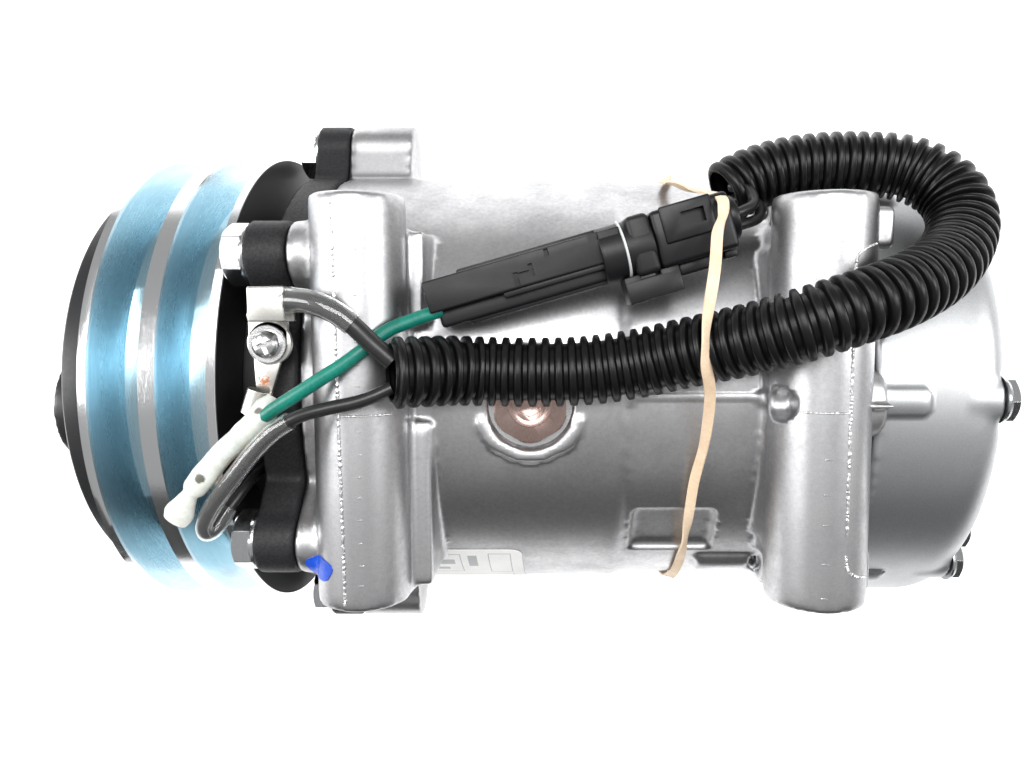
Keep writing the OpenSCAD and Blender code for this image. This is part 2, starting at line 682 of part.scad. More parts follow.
// the connector's frame: its +X runs from the wires' end to the far end
module on_connector() {
    translate([66.9, 22.2, 67]) rotate([0, 3.4, 0]) rotate([0, 0, 16.2]) children();
}

module connector_plug() color("#1d1e20") on_connector() {
    translate([0, -5.6, -5.2]) cube([46, 11.2, 10.4]);
    translate([8, -6.6, -3]) cube([34, 13.2, 6]);
    translate([46, -6.8, -5.8]) cube([7, 13.6, 11.6]);
    translate([44, -12.5, -2.6]) cube([12, 5.6, 7.6]);
}

module connector_socket() color("#17181a") on_connector() {
    translate([53.1, -6.6, -5.8]) cube([18.6, 13.2, 11.6]);
    translate([57, -9.4, -3]) cube([10, 3, 6]);
}

module rubber_band() color("#d9b48a") {
    translate([129.4, 0, 0]) rotate([90, 0, 90]) linear_extrude(2.2) difference() {
        offset(delta = 0.9) band_inside();
        band_inside();
    }
}

// everything that the band runs around, seen along the shaft
module band_inside() {
    hull() {
        circle(r = case_r + 0.2, $fn = 96);
        translate([13.4, 76]) circle(r = loom_r + 1.4, $fn = 48);
        translate([41, 61]) circle(r = 11.6, $fn = 48);
    }
}

front_housing();
housing_bolts();
housing_o_ring();
cylinder_block();
cylinder_head();
head_bolts();
valve_plate();
valve_gaskets();
reed_valves();
oil_plug();
label();
pulley();
pulley_rims();
bearing_outer_race();
bearing_inner_race();
bearing_balls();
coil_shell();
coil_winding();
armature_plate();
clutch_hub();
hub_dampers();
armature_rivets();
shaft_nut();
drive_shaft();
shaft_bearing();
shaft_seal();
snap_rings();
front_thrust_bearing();
cam_rotor();
rotor_thrust_bearing();
wobble_plate();
planet_gear();
fixed_gear();
pivot_ball();
for (k = [0 : CYLINDERS - 1]) {
    rod(k);
    piston(k);
}
lead_bracket();
bracket_screw();
loom();
bracket_lead();
coil_lead();
signal_wire();
splice_sleeve();
connector_plug();
connector_socket();
connector_tails();
rubber_band();
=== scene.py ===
# %% [markdown]
# # A car's air conditioning compressor
#
# The exact solids of the compressor come from CAD. They are loaded as a fixed frame, and this
# lesson dresses them: castings get their soft corners, cords their ribs, and every surface a
# finish. One unit is a metre. X runs along the shaft from the clutch to the rear head, and Z
# points to the oil plug. Sizes below are given in millimetres, times MM.

# %% The frame
import math
import random

import bpy
import numpy as np
from mathutils import Matrix, Vector


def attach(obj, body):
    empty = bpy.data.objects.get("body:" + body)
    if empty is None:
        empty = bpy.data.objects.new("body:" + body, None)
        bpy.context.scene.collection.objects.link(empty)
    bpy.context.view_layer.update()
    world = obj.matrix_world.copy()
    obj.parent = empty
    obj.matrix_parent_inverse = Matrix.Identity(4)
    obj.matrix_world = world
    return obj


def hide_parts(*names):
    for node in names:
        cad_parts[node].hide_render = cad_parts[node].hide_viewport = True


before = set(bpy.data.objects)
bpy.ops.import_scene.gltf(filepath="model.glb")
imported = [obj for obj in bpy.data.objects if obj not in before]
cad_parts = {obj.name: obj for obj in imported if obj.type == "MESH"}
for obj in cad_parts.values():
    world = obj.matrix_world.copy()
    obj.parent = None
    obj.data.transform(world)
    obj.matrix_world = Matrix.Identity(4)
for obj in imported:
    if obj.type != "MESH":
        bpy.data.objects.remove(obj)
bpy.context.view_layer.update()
MM = 0.001
random.seed(7)

# %% [markdown]
# ## The camera
#
# The part is seen from straight above, from a quarter of a metre away. A wide lens that near
# shows the round pulley swelling towards the edge of the picture. The Standard view keeps the
# sheet pure white and the rubber deep black.

# %% The camera
lens = bpy.data.cameras.new("camera")
lens.sensor_width = 36
lens.lens = 27.74
lens.shift_x, lens.shift_y = -0.0469, -0.0071
lens.clip_start, lens.clip_end = 0.01, 20
camera = bpy.data.objects.new("camera", lens)
camera.location = (0.0967, 0.02266, 0.24897)
camera.rotation_euler = (math.radians(-5.2), 0, 0)
bpy.context.scene.collection.objects.link(camera)
bpy.context.scene.camera = camera
bpy.context.scene.view_settings.view_transform = "Standard"
print("camera at", tuple(camera.location))

# %% [markdown]
# ## Small helpers
#
# An operator acts on whatever is selected, so each helper first deselects everything. `settle`
# moves a piece's place into its mesh, as the CAD solids have it.

# %% Helpers for selecting and settling
def deselect():
    for thing in bpy.context.selected_objects:
        thing.select_set(False)


def linked(thing):
    bpy.context.scene.collection.objects.link(thing)
    return thing


def only(piece):
    deselect()
    piece.select_set(True)
    bpy.context.view_layer.objects.active = piece
    return piece


def named(name):
    piece = bpy.context.object
    piece.name = piece.data.name = name
    return piece


def settle(piece):
    only(piece)
    bpy.ops.object.transform_apply(location=True, rotation=True, scale=True)
    return piece


def apply_modifier(piece, kind, **values):
    only(piece)
    modifier = piece.modifiers.new(kind.lower(), kind)
    for name, value in values.items():
        setattr(modifier, name, value)
    bpy.ops.object.modifier_apply(modifier=modifier.name)
    return piece


def bevelled(piece, width, segments=2, angle=30):
    return apply_modifier(piece, "BEVEL", width=width * MM, segments=segments,
                          limit_method="ANGLE", angle_limit=math.radians(angle))


def edit(piece, *steps):
    only(piece)
    bpy.ops.object.mode_set(mode="EDIT")
    bpy.ops.mesh.select_all(action="SELECT")
    for step in steps:
        step()
    bpy.ops.object.mode_set(mode="OBJECT")
    return piece


def outward():
    bpy.ops.mesh.normals_make_consistent(inside=False)


def smooth(piece, angle=32):
    only(piece)
    bpy.ops.object.shade_smooth_by_angle(angle=math.radians(angle))
    return piece


def joined(name, *pieces):
    deselect()
    for piece in pieces:
        piece.select_set(True)
    bpy.context.view_layer.objects.active = pieces[0]
    if len(pieces) > 1:
        bpy.ops.object.join()
    return named(name)


# %% [markdown]
# A block and a bar are only starts: each is bevelled, joined or cut afterwards. A turned part is
# drawn as an outline, one extruded point after another, and then spun about the shaft.

# %% Helpers for first shapes
def block(x, y, z, bevel=0.4, segments=2):
    deselect()
    sizes = [(b - a) * MM for a, b in (x, y, z)]
    bpy.ops.mesh.primitive_cube_add(size=1, location=[(a + b) / 2 * MM for a, b in (x, y, z)])
    piece = named("block")
    piece.scale = sizes
    settle(piece)
    return bevelled(piece, bevel, segments) if bevel else piece


TURNS = {"x": (0, math.radians(90), 0), "y": (math.radians(90), 0, 0), "z": (0, 0, 0)}


def bar(axis, centre, radius, length, sides=48, bevel=0.3, segments=2):
    deselect()
    bpy.ops.mesh.primitive_cylinder_add(
        vertices=sides, radius=radius * MM, depth=length * MM,
        location=[c * MM for c in centre], rotation=TURNS[axis])
    piece = settle(named("bar"))
    return bevelled(piece, bevel, segments) if bevel else piece


def welded():
    bpy.ops.mesh.select_all(action="SELECT")
    bpy.ops.mesh.remove_doubles(threshold=0.002 * MM)
    bpy.ops.mesh.select_all(action="SELECT")


def turned(name, outline, steps=96, angle=360, closed=True):
    """Spins an outline of (x, radius) points, in millimetres, about the shaft axis."""
    deselect()
    points = [Vector((x * MM, 0, r * MM)) for x, r in outline]
    bpy.ops.mesh.primitive_plane_add(size=MM, location=points[0])
    piece = settle(named(name))
    only(piece)
    bpy.ops.object.mode_set(mode="EDIT")
    bpy.ops.mesh.select_all(action="SELECT")
    bpy.ops.mesh.merge(type="CENTER")
    for before, after in zip(points, points[1:] + points[:1] * closed):
        bpy.ops.mesh.extrude_region_move(TRANSFORM_OT_translate={"value": after - before})
    welded()
    bpy.ops.mesh.spin(steps=steps, angle=math.radians(angle), center=(0, 0, 0), axis=(1, 0, 0))
    welded()
    outward()
    bpy.ops.object.mode_set(mode="OBJECT")
    return piece


def shift(x, y, z):
    """The matrix of a move given in millimetres."""
    return Matrix.Translation([c * MM for c in (x, y, z)])


def turn(degrees, axis="X"):
    return Matrix.Rotation(math.radians(degrees), 4, axis)


def moved(piece, matrix):
    piece.data.transform(matrix)
    return piece


def about_x(piece, degrees):
    """Turns a settled piece about the shaft axis, positive from +Z towards -Y."""
    return moved(piece, turn(degrees))


def copied(piece, name, degrees=0.0):
    twin = piece.copy()
    twin.data = piece.data.copy()
    twin.name = twin.data.name = name
    return about_x(linked(twin), degrees)


# %% [markdown]
# ## Finishes
#
# Every material reads Object coordinates, so a pattern has its real size in metres and stays on
# its piece. Two effects are shared by most materials, so each is a node group: `grain` is the
# fine tooth of a surface, and `stain` is the slow change of tone over it.

# %% The shared groups
def group(name, *outputs):
    """A node group with the inputs Vector and Scale, and these outputs."""
    tree = bpy.data.node_groups.new(name, "ShaderNodeTree")
    tree.interface.new_socket("Vector", in_out="INPUT", socket_type="NodeSocketVector")
    tree.interface.new_socket("Scale", in_out="INPUT", socket_type="NodeSocketFloat")
    for label in outputs:
        tree.interface.new_socket(label, in_out="OUTPUT", socket_type="NodeSocketFloat")
    vector, scale, _ = tree.nodes.new("NodeGroupInput").outputs
    return tree, vector, scale, tree.nodes.new("NodeGroupOutput").inputs


def node(tree, kind, inputs=None, **settings):
    """Adds a node. Each input takes a plain value or a link from another node's socket."""
    made = tree.nodes.new("ShaderNode" + kind)
    for name, value in settings.items():
        setattr(made, name, value)
    for key, value in (inputs or {}).items():
        if isinstance(value, bpy.types.NodeSocket):
            tree.links.new(value, made.inputs[key])
        elif value is not None:
            made.inputs[key].default_value = value
    return made


def noise(tree, vector, scale, detail=4.0, rough=0.55):
    return node(tree, "TexNoise", {"Vector": vector, "Scale": scale, "Detail": detail,
                                   "Roughness": rough}).outputs["Fac"]


def maths(tree, kind, a, b=None):
    return node(tree, "Math", {0: a, 1: b}, operation=kind).outputs[0]


def spread(tree, value, low, high, to_low=0.0, to_high=1.0):
    ends = {0: value, 1: low, 2: high, 3: to_low, 4: to_high}
    return node(tree, "MapRange", ends, clamp=True).outputs[0]


def blend(tree, a, b, weights):
    """The sum of two masks, each times its weight."""
    shares = [maths(tree, "MULTIPLY", mask, weight) for mask, weight in zip((a, b), weights)]
    return maths(tree, "ADD", *shares)


grain, vector, scale, result = group("grain", "Mask", "Height")
fine = noise(grain, vector, maths(grain, "MULTIPLY", scale, 3.1), 2.0)
both = blend(grain, noise(grain, vector, scale), fine, (0.6, 0.4))
grain.links.new(spread(grain, both, 0.36, 0.66), result["Mask"])
grain.links.new(both, result["Height"])

stain, vector, scale, result = group("stain", "Mask")
cloud = noise(stain, vector, scale, 6.0, 0.62)
stain.links.new(spread(stain, cloud, 0.38, 0.68), result["Mask"])

# %% [markdown]
# `Finish` makes one material from these groups. The tone goes from `dark` to `light` by the
# stains and the grain together, the roughness follows the stains, and the grain lifts the
# surface a few hundredths of a millimetre through a Bump node. What is the same all over the
# surface, such as how metallic it is, is set on the shader itself.

# %% A finish
class Finish:
    def __init__(self, name, dark, light, roughness, metallic, grain_scale, stain_scale, bump,
                 stretch=(1, 1, 1), weights=(0.5, 0.5), **shader):
        self.material = bpy.data.materials.new(name)
        self.material.use_nodes = True
        self.tree = self.material.node_tree
        self.shader = self.tree.nodes["Principled BSDF"]
        self.place = node(self.tree, "TexCoord").outputs["Object"]
        place = {"Vector": self.place, "Scale": stretch}
        stretched = node(self.tree, "Mapping", place).outputs["Vector"]
        self.tooth, tone = (
            node(self.tree, "Group", {"Scale": scale, "Vector": stretched}, node_tree=shared)
            for shared, scale in ((grain, grain_scale), (stain, stain_scale)))
        mask = blend(self.tree, self.tooth.outputs["Mask"], tone.outputs["Mask"], weights)
        self.colour(self.mix(mask, dark, light))
        self.rough(spread(self.tree, mask, 0.0, 1.0, roughness[1], roughness[0]))
        self.shader.inputs["Metallic"].default_value = metallic
        for label, value in shader.items():
            self.shader.inputs[label.replace("_", " ")].default_value = value
        lift = {"Strength": bump, "Distance": 0.05 * MM, "Height": self.tooth.outputs["Height"]}
        self.set("Normal", node(self.tree, "Bump", lift).outputs["Normal"])

    def set(self, label, socket):
        self.tree.links.new(socket, self.shader.inputs[label])
        return socket

    def mix(self, mask, first, second):
        tones = [(*v, 1) if isinstance(v, tuple) else v for v in (first, second)]
        return node(self.tree, "Mix", {0: mask, 6: tones[0], 7: tones[1]},
                    data_type="RGBA").outputs[2]

    def colour(self, socket):
        self.tone_out = self.set("Base Color", socket)

    def rough(self, socket):
        self.rough_out = self.set("Roughness", socket)

    def over(self, mask, tone, roughness=None, metallic=None):
        """Lays another tone, and perhaps roughness, over the finish where mask is one."""
        self.colour(self.mix(mask, self.tone_out, tone))
        if roughness is not None:
            ends = {0: mask, 2: self.rough_out, 3: roughness}
            self.rough(node(self.tree, "Mix", ends).outputs[0])
        if metallic is not None:
            start = self.shader.inputs["Metallic"].default_value
            self.set("Metallic", spread(self.tree, mask, 0, 1, start, metallic))

    def parts(self):
        return node(self.tree, "SeparateXYZ", {0: self.place}).outputs

    def radius(self):
        """Distance from the shaft axis."""
        _, y, z = self.parts()
        squares = [maths(self.tree, "MULTIPLY", v, v) for v in (y, z)]
        return maths(self.tree, "SQRT", maths(self.tree, "ADD", *squares))


FINISHES = {}


def make_finishes(rows, metallic):
    """A row: dark tone, light tone, roughness, (grain scale, stain scale, bump), the rest."""
    for name, (dark, light, roughness, pattern, *more) in rows.items():
        FINISHES[name] = Finish(name, dark, light, roughness, metallic, *pattern, **dict(*more))


# %% [markdown]
# ## Metals
#
# Die-cast aluminium is a soft grey metal with a fine sandy tooth and darker clouds. Turned zinc
# on the pulley is bluish in its grooves, where the plating kept its colour; its rims are bright
# metal, and their near-white tone is also a painted highlight. The turning marks run round it,
# so their pattern changes only along X.

# %% The castings and the turned metals
make_finishes({
    "cast_aluminium": ((0.36, 0.36, 0.37), (0.66, 0.66, 0.67), (0.30, 0.44), (900, 48, 0.35),
                       {"weights": (0.4, 0.6)}),
    "head_aluminium": ((0.42, 0.43, 0.44), (0.62, 0.63, 0.64), (0.36, 0.46), (2400, 30, 0.25)),
    "blue_zinc": ((0.37, 0.53, 0.61), (0.58, 0.75, 0.82), (0.20, 0.34), (900, 40, 0.25),
                  {"stretch": (8, 0.25, 0.25), "weights": (0.35, 0.65)}),
    "bright_zinc": ((0.62, 0.62, 0.62), (0.86, 0.86, 0.87), (0.18, 0.32), (1300, 150, 0.25)),
    "bright_steel": ((0.50, 0.51, 0.52), (0.74, 0.75, 0.76), (0.16, 0.28), (1600, 110, 0.2),
                     {"stretch": (6, 1, 1)}),
    "ground_steel": ((0.46, 0.47, 0.48), (0.66, 0.67, 0.68), (0.22, 0.36), (2200, 90, 0.2),
                     {"stretch": (1, 6, 6)}),
    "spring_steel": ((0.34, 0.37, 0.42), (0.56, 0.60, 0.66), (0.20, 0.32), (2000, 140, 0.15)),
    "gear_steel": ((0.30, 0.29, 0.27), (0.50, 0.48, 0.44), (0.30, 0.42), (1500, 90, 0.3)),
    "copper_winding": ((0.30, 0.10, 0.04), (0.62, 0.27, 0.12), (0.26, 0.40), (700, 90, 0.6),
                       {"stretch": (3, 0.4, 0.4)}),
    "plug_metal": ((0.40, 0.27, 0.24), (0.66, 0.50, 0.45), (0.16, 0.30), (1400, 160, 0.2)),
    "tin_plate": ((0.50, 0.49, 0.46), (0.76, 0.75, 0.71), (0.24, 0.40), (1500, 180, 0.35)),
    # a lighter aluminium whose tone is a painted highlight along the flash lines and ticks
    "highlight_aluminium": ((0.66, 0.66, 0.66), (0.90, 0.90, 0.90), (0.26, 0.40), (900, 300, 0.6)),
    "bored_aluminium": ((0.50, 0.51, 0.52), (0.72, 0.73, 0.74), (0.22, 0.34), (1900, 70, 0.2),
                        {"stretch": (8, 1, 1)}),
}, 1.0)
blue_zinc = FINISHES["blue_zinc"]
# The rims get a near-white tone: bright turned metal, and also a painted highlight along the rim edges.
rim = spread(blue_zinc.tree, blue_zinc.radius(), 65.2 * MM, 65.5 * MM)
blue_zinc.over(rim, (0.80, 0.81, 0.82), 0.16)
back_face = spread(blue_zinc.tree, blue_zinc.parts()[0], 16.0 * MM, 16.2 * MM)
blue_zinc.over(back_face, (0.006, 0.006, 0.007), 0.5, 0.0)
print(len(FINISHES), "metals")

# %% [markdown]
# A spot of rust sits on the narrow part of the bracket, where bending broke the plating. Its
# mask is the distance from that spot, broken up by the grain.

# %% The rust spot
def near(work, point, reach, ragged=0.9):
    """A mask that is one around a point, with a ragged edge."""
    ends = {0: work.place, 1: [c * MM for c in point]}
    away = node(work.tree, "VectorMath", ends, operation="DISTANCE").outputs["Value"]
    uneven = maths(work.tree, "MULTIPLY", work.tooth.outputs["Mask"], ragged * reach * MM)
    total = maths(work.tree, "ADD", away, uneven)
    return spread(work.tree, total, reach * 1.25 * MM, reach * 0.85 * MM)


tin = FINISHES["tin_plate"]
tin.over(near(tin, (27.6, 4.9, 66.0), 2.3, 1.2), (0.42, 0.13, 0.03), 0.85, 0.0)
print("a rust spot on", tin.material.name)

# %% [markdown]
# ## Plastics, rubber and the rest
#
# Loom plastic is a polished black, and the connector is moulded in a dark grey with a satin
# face. The clear sleeve lets light through, so it is a glass-like shader with a faint grey tint.
# The white sheet under the part gives off a little light of its own.

# %% Paints, plastics and rubber
make_finishes({
    "black_cast": ((0.004, 0.004, 0.005), (0.022, 0.022, 0.024), (0.42, 0.62), (1500, 90, 0.7),
                   {"weights": (0.8, 0.2), "Specular_IOR_Level": 0.3}),
    "black_plate": ((0.006, 0.006, 0.007), (0.020, 0.020, 0.021), (0.30, 0.46), (900, 60, 0.3)),
    "loom_plastic": ((0.002, 0.002, 0.002), (0.006, 0.006, 0.007), (0.26, 0.42), (800, 120, 0.3),
                     {"Specular_IOR_Level": 0.26}),
    "connector_grey": ((0.006, 0.006, 0.007), (0.013, 0.013, 0.014), (0.34, 0.48), (2600, 120, 0.35),
                       {"Specular_IOR_Level": 0.32}),
    "connector_black": ((0.003, 0.003, 0.004), (0.008, 0.008, 0.009), (0.28, 0.42), (2600, 120, 0.3),
                        {"Specular_IOR_Level": 0.32}),
    "wire_black": ((0.007, 0.007, 0.007), (0.022, 0.022, 0.022), (0.24, 0.40), (1400, 160, 0.25)),
    "wire_green": ((0.000, 0.125, 0.090), (0.010, 0.235, 0.175), (0.30, 0.42), (1600, 200, 0.25)),
    "clear_sleeve": ((0.86, 0.87, 0.86), (0.96, 0.97, 0.96), (0.02, 0.07), (500, 150, 0.03),
                     {"Transmission_Weight": 0.96, "IOR": 1.42}),
    "shrink_white": ((0.56, 0.56, 0.50), (0.80, 0.80, 0.76), (0.34, 0.50), (900, 220, 0.4),
                     {"Subsurface_Weight": 0.15}),
    "latex_tan": ((0.66, 0.47, 0.30), (0.86, 0.70, 0.52), (0.45, 0.62), (1800, 160, 0.4)),
    "damper_rubber": ((0.006, 0.006, 0.006), (0.020, 0.020, 0.020), (0.55, 0.72), (1700, 160, 0.5)),
    "gasket_grey": ((0.018, 0.019, 0.020), (0.050, 0.052, 0.055), (0.60, 0.78), (1900, 100, 0.4)),
    "blue_paint": ((0.003, 0.045, 0.36), (0.010, 0.085, 0.60), (0.30, 0.42), (1500, 300, 0.4)),
    # a pale grey whose light tone is a painted highlight on the connector's seal ring
    "pale_highlight_grey": ((0.42, 0.43, 0.44), (0.62, 0.63, 0.64), (0.30, 0.44), (1500, 160, 0.3)),
    "label_white": ((0.74, 0.74, 0.72), (0.90, 0.90, 0.89), (0.36, 0.48), (1800, 60, 0.15)),
    "seal_rubber": ((0.006, 0.006, 0.007), (0.024, 0.024, 0.026), (0.42, 0.60), (1700, 140, 0.4)),
    "floor_white": ((0.90, 0.90, 0.90), (0.94, 0.94, 0.94), (0.7, 0.8), (300, 4, 0.02),
                    {"Emission_Color": (1, 1, 1, 1), "Emission_Strength": 0.42}),
}, 0.0)
print(len(FINISHES), "finishes")

# %% [markdown]
# ## Cords
#
# A cord is a route and a section. The routes repeat the CAD points. `smooth_route` passes a
# Catmull-Rom curve through them, so the line has no corners, and `tube` gives the line a round
# section through a curve's bevel. The curve is then made a mesh, like everything else.

# %% Routes
def smooth_route(points, pieces=8):
    p = np.array(points, float) * MM
    p = np.vstack([2 * p[0] - p[1], p, 2 * p[-1] - p[-2]])
    line = []
    for a, b, c, d in zip(p, p[1:], p[2:], p[3:]):
        for t in np.arange(pieces) / pieces:
            line.append(0.5 * (2 * b + (c - a) * t + (2 * a - 5 * b + 4 * c - d) * t ** 2
                               + (3 * b - a - 3 * c + d) * t ** 3))
    return np.array(line + [p[-2]])


def length_of(line):
    return float(np.linalg.norm(np.diff(line, axis=0), axis=1).sum())


loom_line = smooth_route([
    (60, 8, 78.6), (65.5, 8, 76.2), (72.5, 8, 72.6), (80, 7.6, 70.4), (90, 7.4, 70), (100, 7.6, 70),
    (108, 8.4, 70.2), (116, 9.8, 71), (124, 11.8, 73), (132, 13.8, 76.4), (140, 16, 80.4),
    (148, 18.6, 83.6), (157, 21.6, 84.2), (166, 24.4, 82), (174, 27.4, 78), (181, 31, 73.4),
    (187, 36, 67.6), (190.5, 42, 62.4), (190, 48.4, 58.2), (186, 53.2, 54.8), (179.5, 56.2, 52),
    (170.7, 57.2, 50.2), (161, 57.2, 49.2), (151.5, 56, 48.6), (143.4, 53.4, 48.8), (137.2, 50, 49.8)])
bracket_lead_line = smooth_route([
    (60.4, 10.4, 78.2), (56, 14.4, 78.6), (52, 18.4, 79), (47.5, 21.6, 79.2), (42.5, 23.4, 78.4),
    (38, 23.7, 76.6), (34.4, 23.6, 75.4), (29, 23.4, 75.2)])
coil_lead_line = smooth_route([
    (60, 4.6, 77.6), (56, 2.8, 78.2), (51.7, 1.4, 78.4), (46, 0.2, 78.6), (40.2, -1.4, 78.6),
    (35.4, -4, 78), (31.6, -7, 77), (27.9, -10.7, 76), (24.4, -14.8, 75), (20.6, -19.2, 73.6),
    (17, -23.6, 71.8), (14.2, -28, 69.8), (13.9, -30.6, 67.8), (15.6, -29.4, 66), (17.9, -25, 63.8),
    (19.8, -21.4, 60), (20.3, -19.6, 54), (20.3, -19, 45.4)])
signal_line = smooth_route([
    (69.5, 21.4, 68.4), (63.4, 19.2, 70.8), (58, 16.8, 73.2), (53.6, 13, 75.4), (49, 9.6, 75.9),
    (43, 5.8, 76), (37, 2, 75.4), (32.3, -0.9, 74.2), (28, -4, 73.2)])
tail_lines = [smooth_route(route) for route in (
    [(134.4, 42.6, 62.4), (138.6, 44.2, 62.2), (142.4, 46.6, 59.6), (142, 50.4, 55.6), (138.6, 51.6, 52)],
    [(134.8, 40.6, 59.6), (139.6, 41.6, 59.4), (144.4, 43.6, 57), (144.6, 47.4, 53.4),
     (139.4, 48.8, 49.8)])]
print("loom", round(length_of(loom_line), 4), "m long")


# %% Tubes along a route
def route_curve(name, line, radii=None):
    data = bpy.data.curves.new(name, "CURVE")
    data.dimensions = "3D"
    data.twist_mode = "MINIMUM"
    spline = data.splines.new("POLY")
    spline.points.add(len(line) - 1)
    for index, (point, place) in enumerate(zip(spline.points, line)):
        point.co = (*place, 1)
        point.radius = 1 if radii is None else radii[index]
    return linked(bpy.data.objects.new(name, data))


def tube(name, line, radius, sides=5, radii=None, caps=True):
    curve = route_curve(name, line, radii)
    curve.data.bevel_depth = radius * MM
    curve.data.bevel_resolution = sides
    curve.data.use_fill_caps = caps
    only(curve)
    bpy.ops.object.convert(target="MESH")
    piece = named(name)
    edit(piece, lambda: bpy.ops.mesh.remove_doubles(threshold=0.001 * MM), outward)
    return smooth(piece, 50)


# %% [markdown]
# Every piece ends the same way: it gets its finish, rides on a CAD body, and stands for the CAD
# nodes that it replaces. A carried-over node only gets a finish.

# %% Placing a piece
def dress(piece, look):
    piece.data.materials.clear()
    piece.data.materials.append(FINISHES[look].material)


def place(piece, look, slot, *nodes, body="casing"):
    dress(piece, look)
    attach(piece, body)
    if nodes:
        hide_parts(*nodes)
    return piece


# %% [markdown]
# The loom is a corrugated tube. One rib is a short turned outline. An Array modifier repeats it
# and merges the joins, and a Curve modifier lays the row along the route. The wall is given its
# inner side at the end, so the open ends show that the tube is hollow.

# %% The loom
pitch = 3.05
rib = [(0, 6.45), (0.55, 6.45), (0.75, 7.2), (0.98, 7.75), (1.25, 7.9), (2.1, 7.9), (2.35, 7.75),
       (2.58, 7.2), (2.78, 6.45), (pitch, 6.45)]
loom_length = length_of(loom_line)
loom = turned("loom_ribbed", rib, steps=40, closed=False)
apply_modifier(loom, "ARRAY", count=int(loom_length / (pitch * MM)), use_relative_offset=True,
               use_merge_vertices=True, merge_threshold=0.02 * MM)
guide = route_curve("loom_guide", loom_line)
apply_modifier(loom, "CURVE", object=guide, deform_axis="POS_X")
bpy.data.objects.remove(guide)
apply_modifier(loom, "SOLIDIFY", thickness=0.5 * MM, offset=-1, use_even_offset=False)
edit(loom, outward)
smooth(loom, 40)
place(loom, "loom_plastic", "loom_black", "loom")
print("loom faces", len(loom.data.polygons))

# %% [markdown]
# Three leads leave the loom. The bracket's lead and the coil's lead each wear a clear sleeve near
# their far end, which is a wider, thin tube over the same line.

# %% The leads
bracket_lead = place(tube("lead_to_bracket", bracket_lead_line, 2.15), "wire_black", "wire_black",
                     "bracket_lead")
coil_lead = place(tube("lead_to_coil", coil_lead_line, 1.5), "wire_black", "wire_black",
                  "coil_lead")
signal = place(tube("wire_signal", signal_line, 1.6), "wire_green", "wire_green", "signal_wire")


def sleeve(name, line, radii):
    """An open clear tube: a row of rings with a thin wall."""
    piece = tube(name, line, 1, 7, radii, caps=False)
    apply_modifier(piece, "SOLIDIFY", thickness=0.22 * MM, offset=-1)
    return place(smooth(edit(piece, outward), 50), "clear_sleeve", "sleeve_white")


clear_end = bracket_lead_line[16:-3]
flare = np.interp(np.linspace(0, 1, len(clear_end)), [0, 0.5, 0.85, 1], [2.5, 2.7, 3.4, 3.3])
bracket_sleeve = sleeve("sleeve_bracket", clear_end, flare)
coil_end = coil_lead_line[36:112]
coil_sleeve = sleeve("sleeve_coil", coil_end, [2.05] * len(coil_end))
tails = joined("tails_connector", *[tube("tail", line, 1.3) for line in tail_lines])
place(tails, "wire_black", "wire_black", "connector_tails")
print("leads", [round(length_of(x), 3) for x in (bracket_lead_line, coil_lead_line, signal_line)])

# %% [markdown]
# The green wire ends in a white heat-shrink splice. Its tube thins behind each joint, and its tip
# was pinched flat while it was hot, so the last rings are squeezed with a resize.

# %% The splice
splice_line = smooth_route([(31.6, 1.6, 70.6), (28.4, -3.6, 73.0), (24.6, -7.2, 73.4), (20.6, -10.8, 73.5),
                            (15.4, -17, 73.6), (12.4, -20.8, 73.4), (8.8, -26.4, 72.6)])
share = np.linspace(0, 1, len(splice_line))
radii = np.interp(share, [0, 0.06, 0.28, 0.34, 0.58, 0.62, 0.74, 0.80, 0.86, 0.95, 1],
                  [1.5, 2.9, 3.0, 2.7, 2.7, 2.9, 2.6, 1.7, 2.3, 3.2, 2.4])
splice = tube("splice_shrunk", splice_line, 1, radii=radii)


def squeeze(piece, centre, reach, scale):
    """Resizes what lies within reach of a point, with a smooth falloff in code."""
    only(piece)
    middle = Vector([c * MM for c in centre])
    for vertex in piece.data.vertices:
        away = (vertex.co - middle).length / (reach * MM)
        if away < 1:
            share = (1 - away * away) ** 2
            for axis in range(3):
                offset = vertex.co[axis] - middle[axis]
                vertex.co[axis] = middle[axis] + offset * (1 + (scale[axis] - 1) * share)


squeeze(splice, (8.8, -26.4, 72.6), 6, (1.25, 1.25, 0.35))
shrink = FINISHES["shrink_white"]
shrink.over(near(shrink, (16.6, -15.8, 76.3), 1.2, 0.3), (0.10, 0.11, 0.09), 0.5)
shrink.over(near(shrink, (29.6, -0.6, 75.4), 1.1, 0.3), (0.12, 0.12, 0.11), 0.5)
tag = block((20.4, 28.6), (-9.0, -7.2), (74.6, 75.1), 0.2)
moved(tag, shift(24.5, -8.1, 0) @ turn(44, "Z") @ shift(-25.6, 9.4, 0))
splice = joined("splice_shrunk", splice, tag)
place(splice, "shrink_white", "sleeve_white", "splice_sleeve")
for number, line in enumerate(tail_lines):
    print("tail", number, round(length_of(line), 4))

# %% [markdown]
# ## The connector
#
# Two moulded halves are latched together. Their frame is tilted on the casing, so each is made
# lying along X and then moved there. Small openings are cut with a Boolean modifier.

# %% Its place, and cutting
connector_place = Matrix.Translation(Vector((66.9, 22.2, 67)) * MM) @ turn(3.4, "Y") @ turn(16.2, "Z")


def boolean(piece, other, operation):
    apply_modifier(piece, "BOOLEAN", object=other, operation=operation, solver="EXACT")
    bpy.data.objects.remove(other)
    return piece


def cut(piece, *cutters):
    for cutter in cutters:
        boolean(piece, cutter, "DIFFERENCE")
    return piece


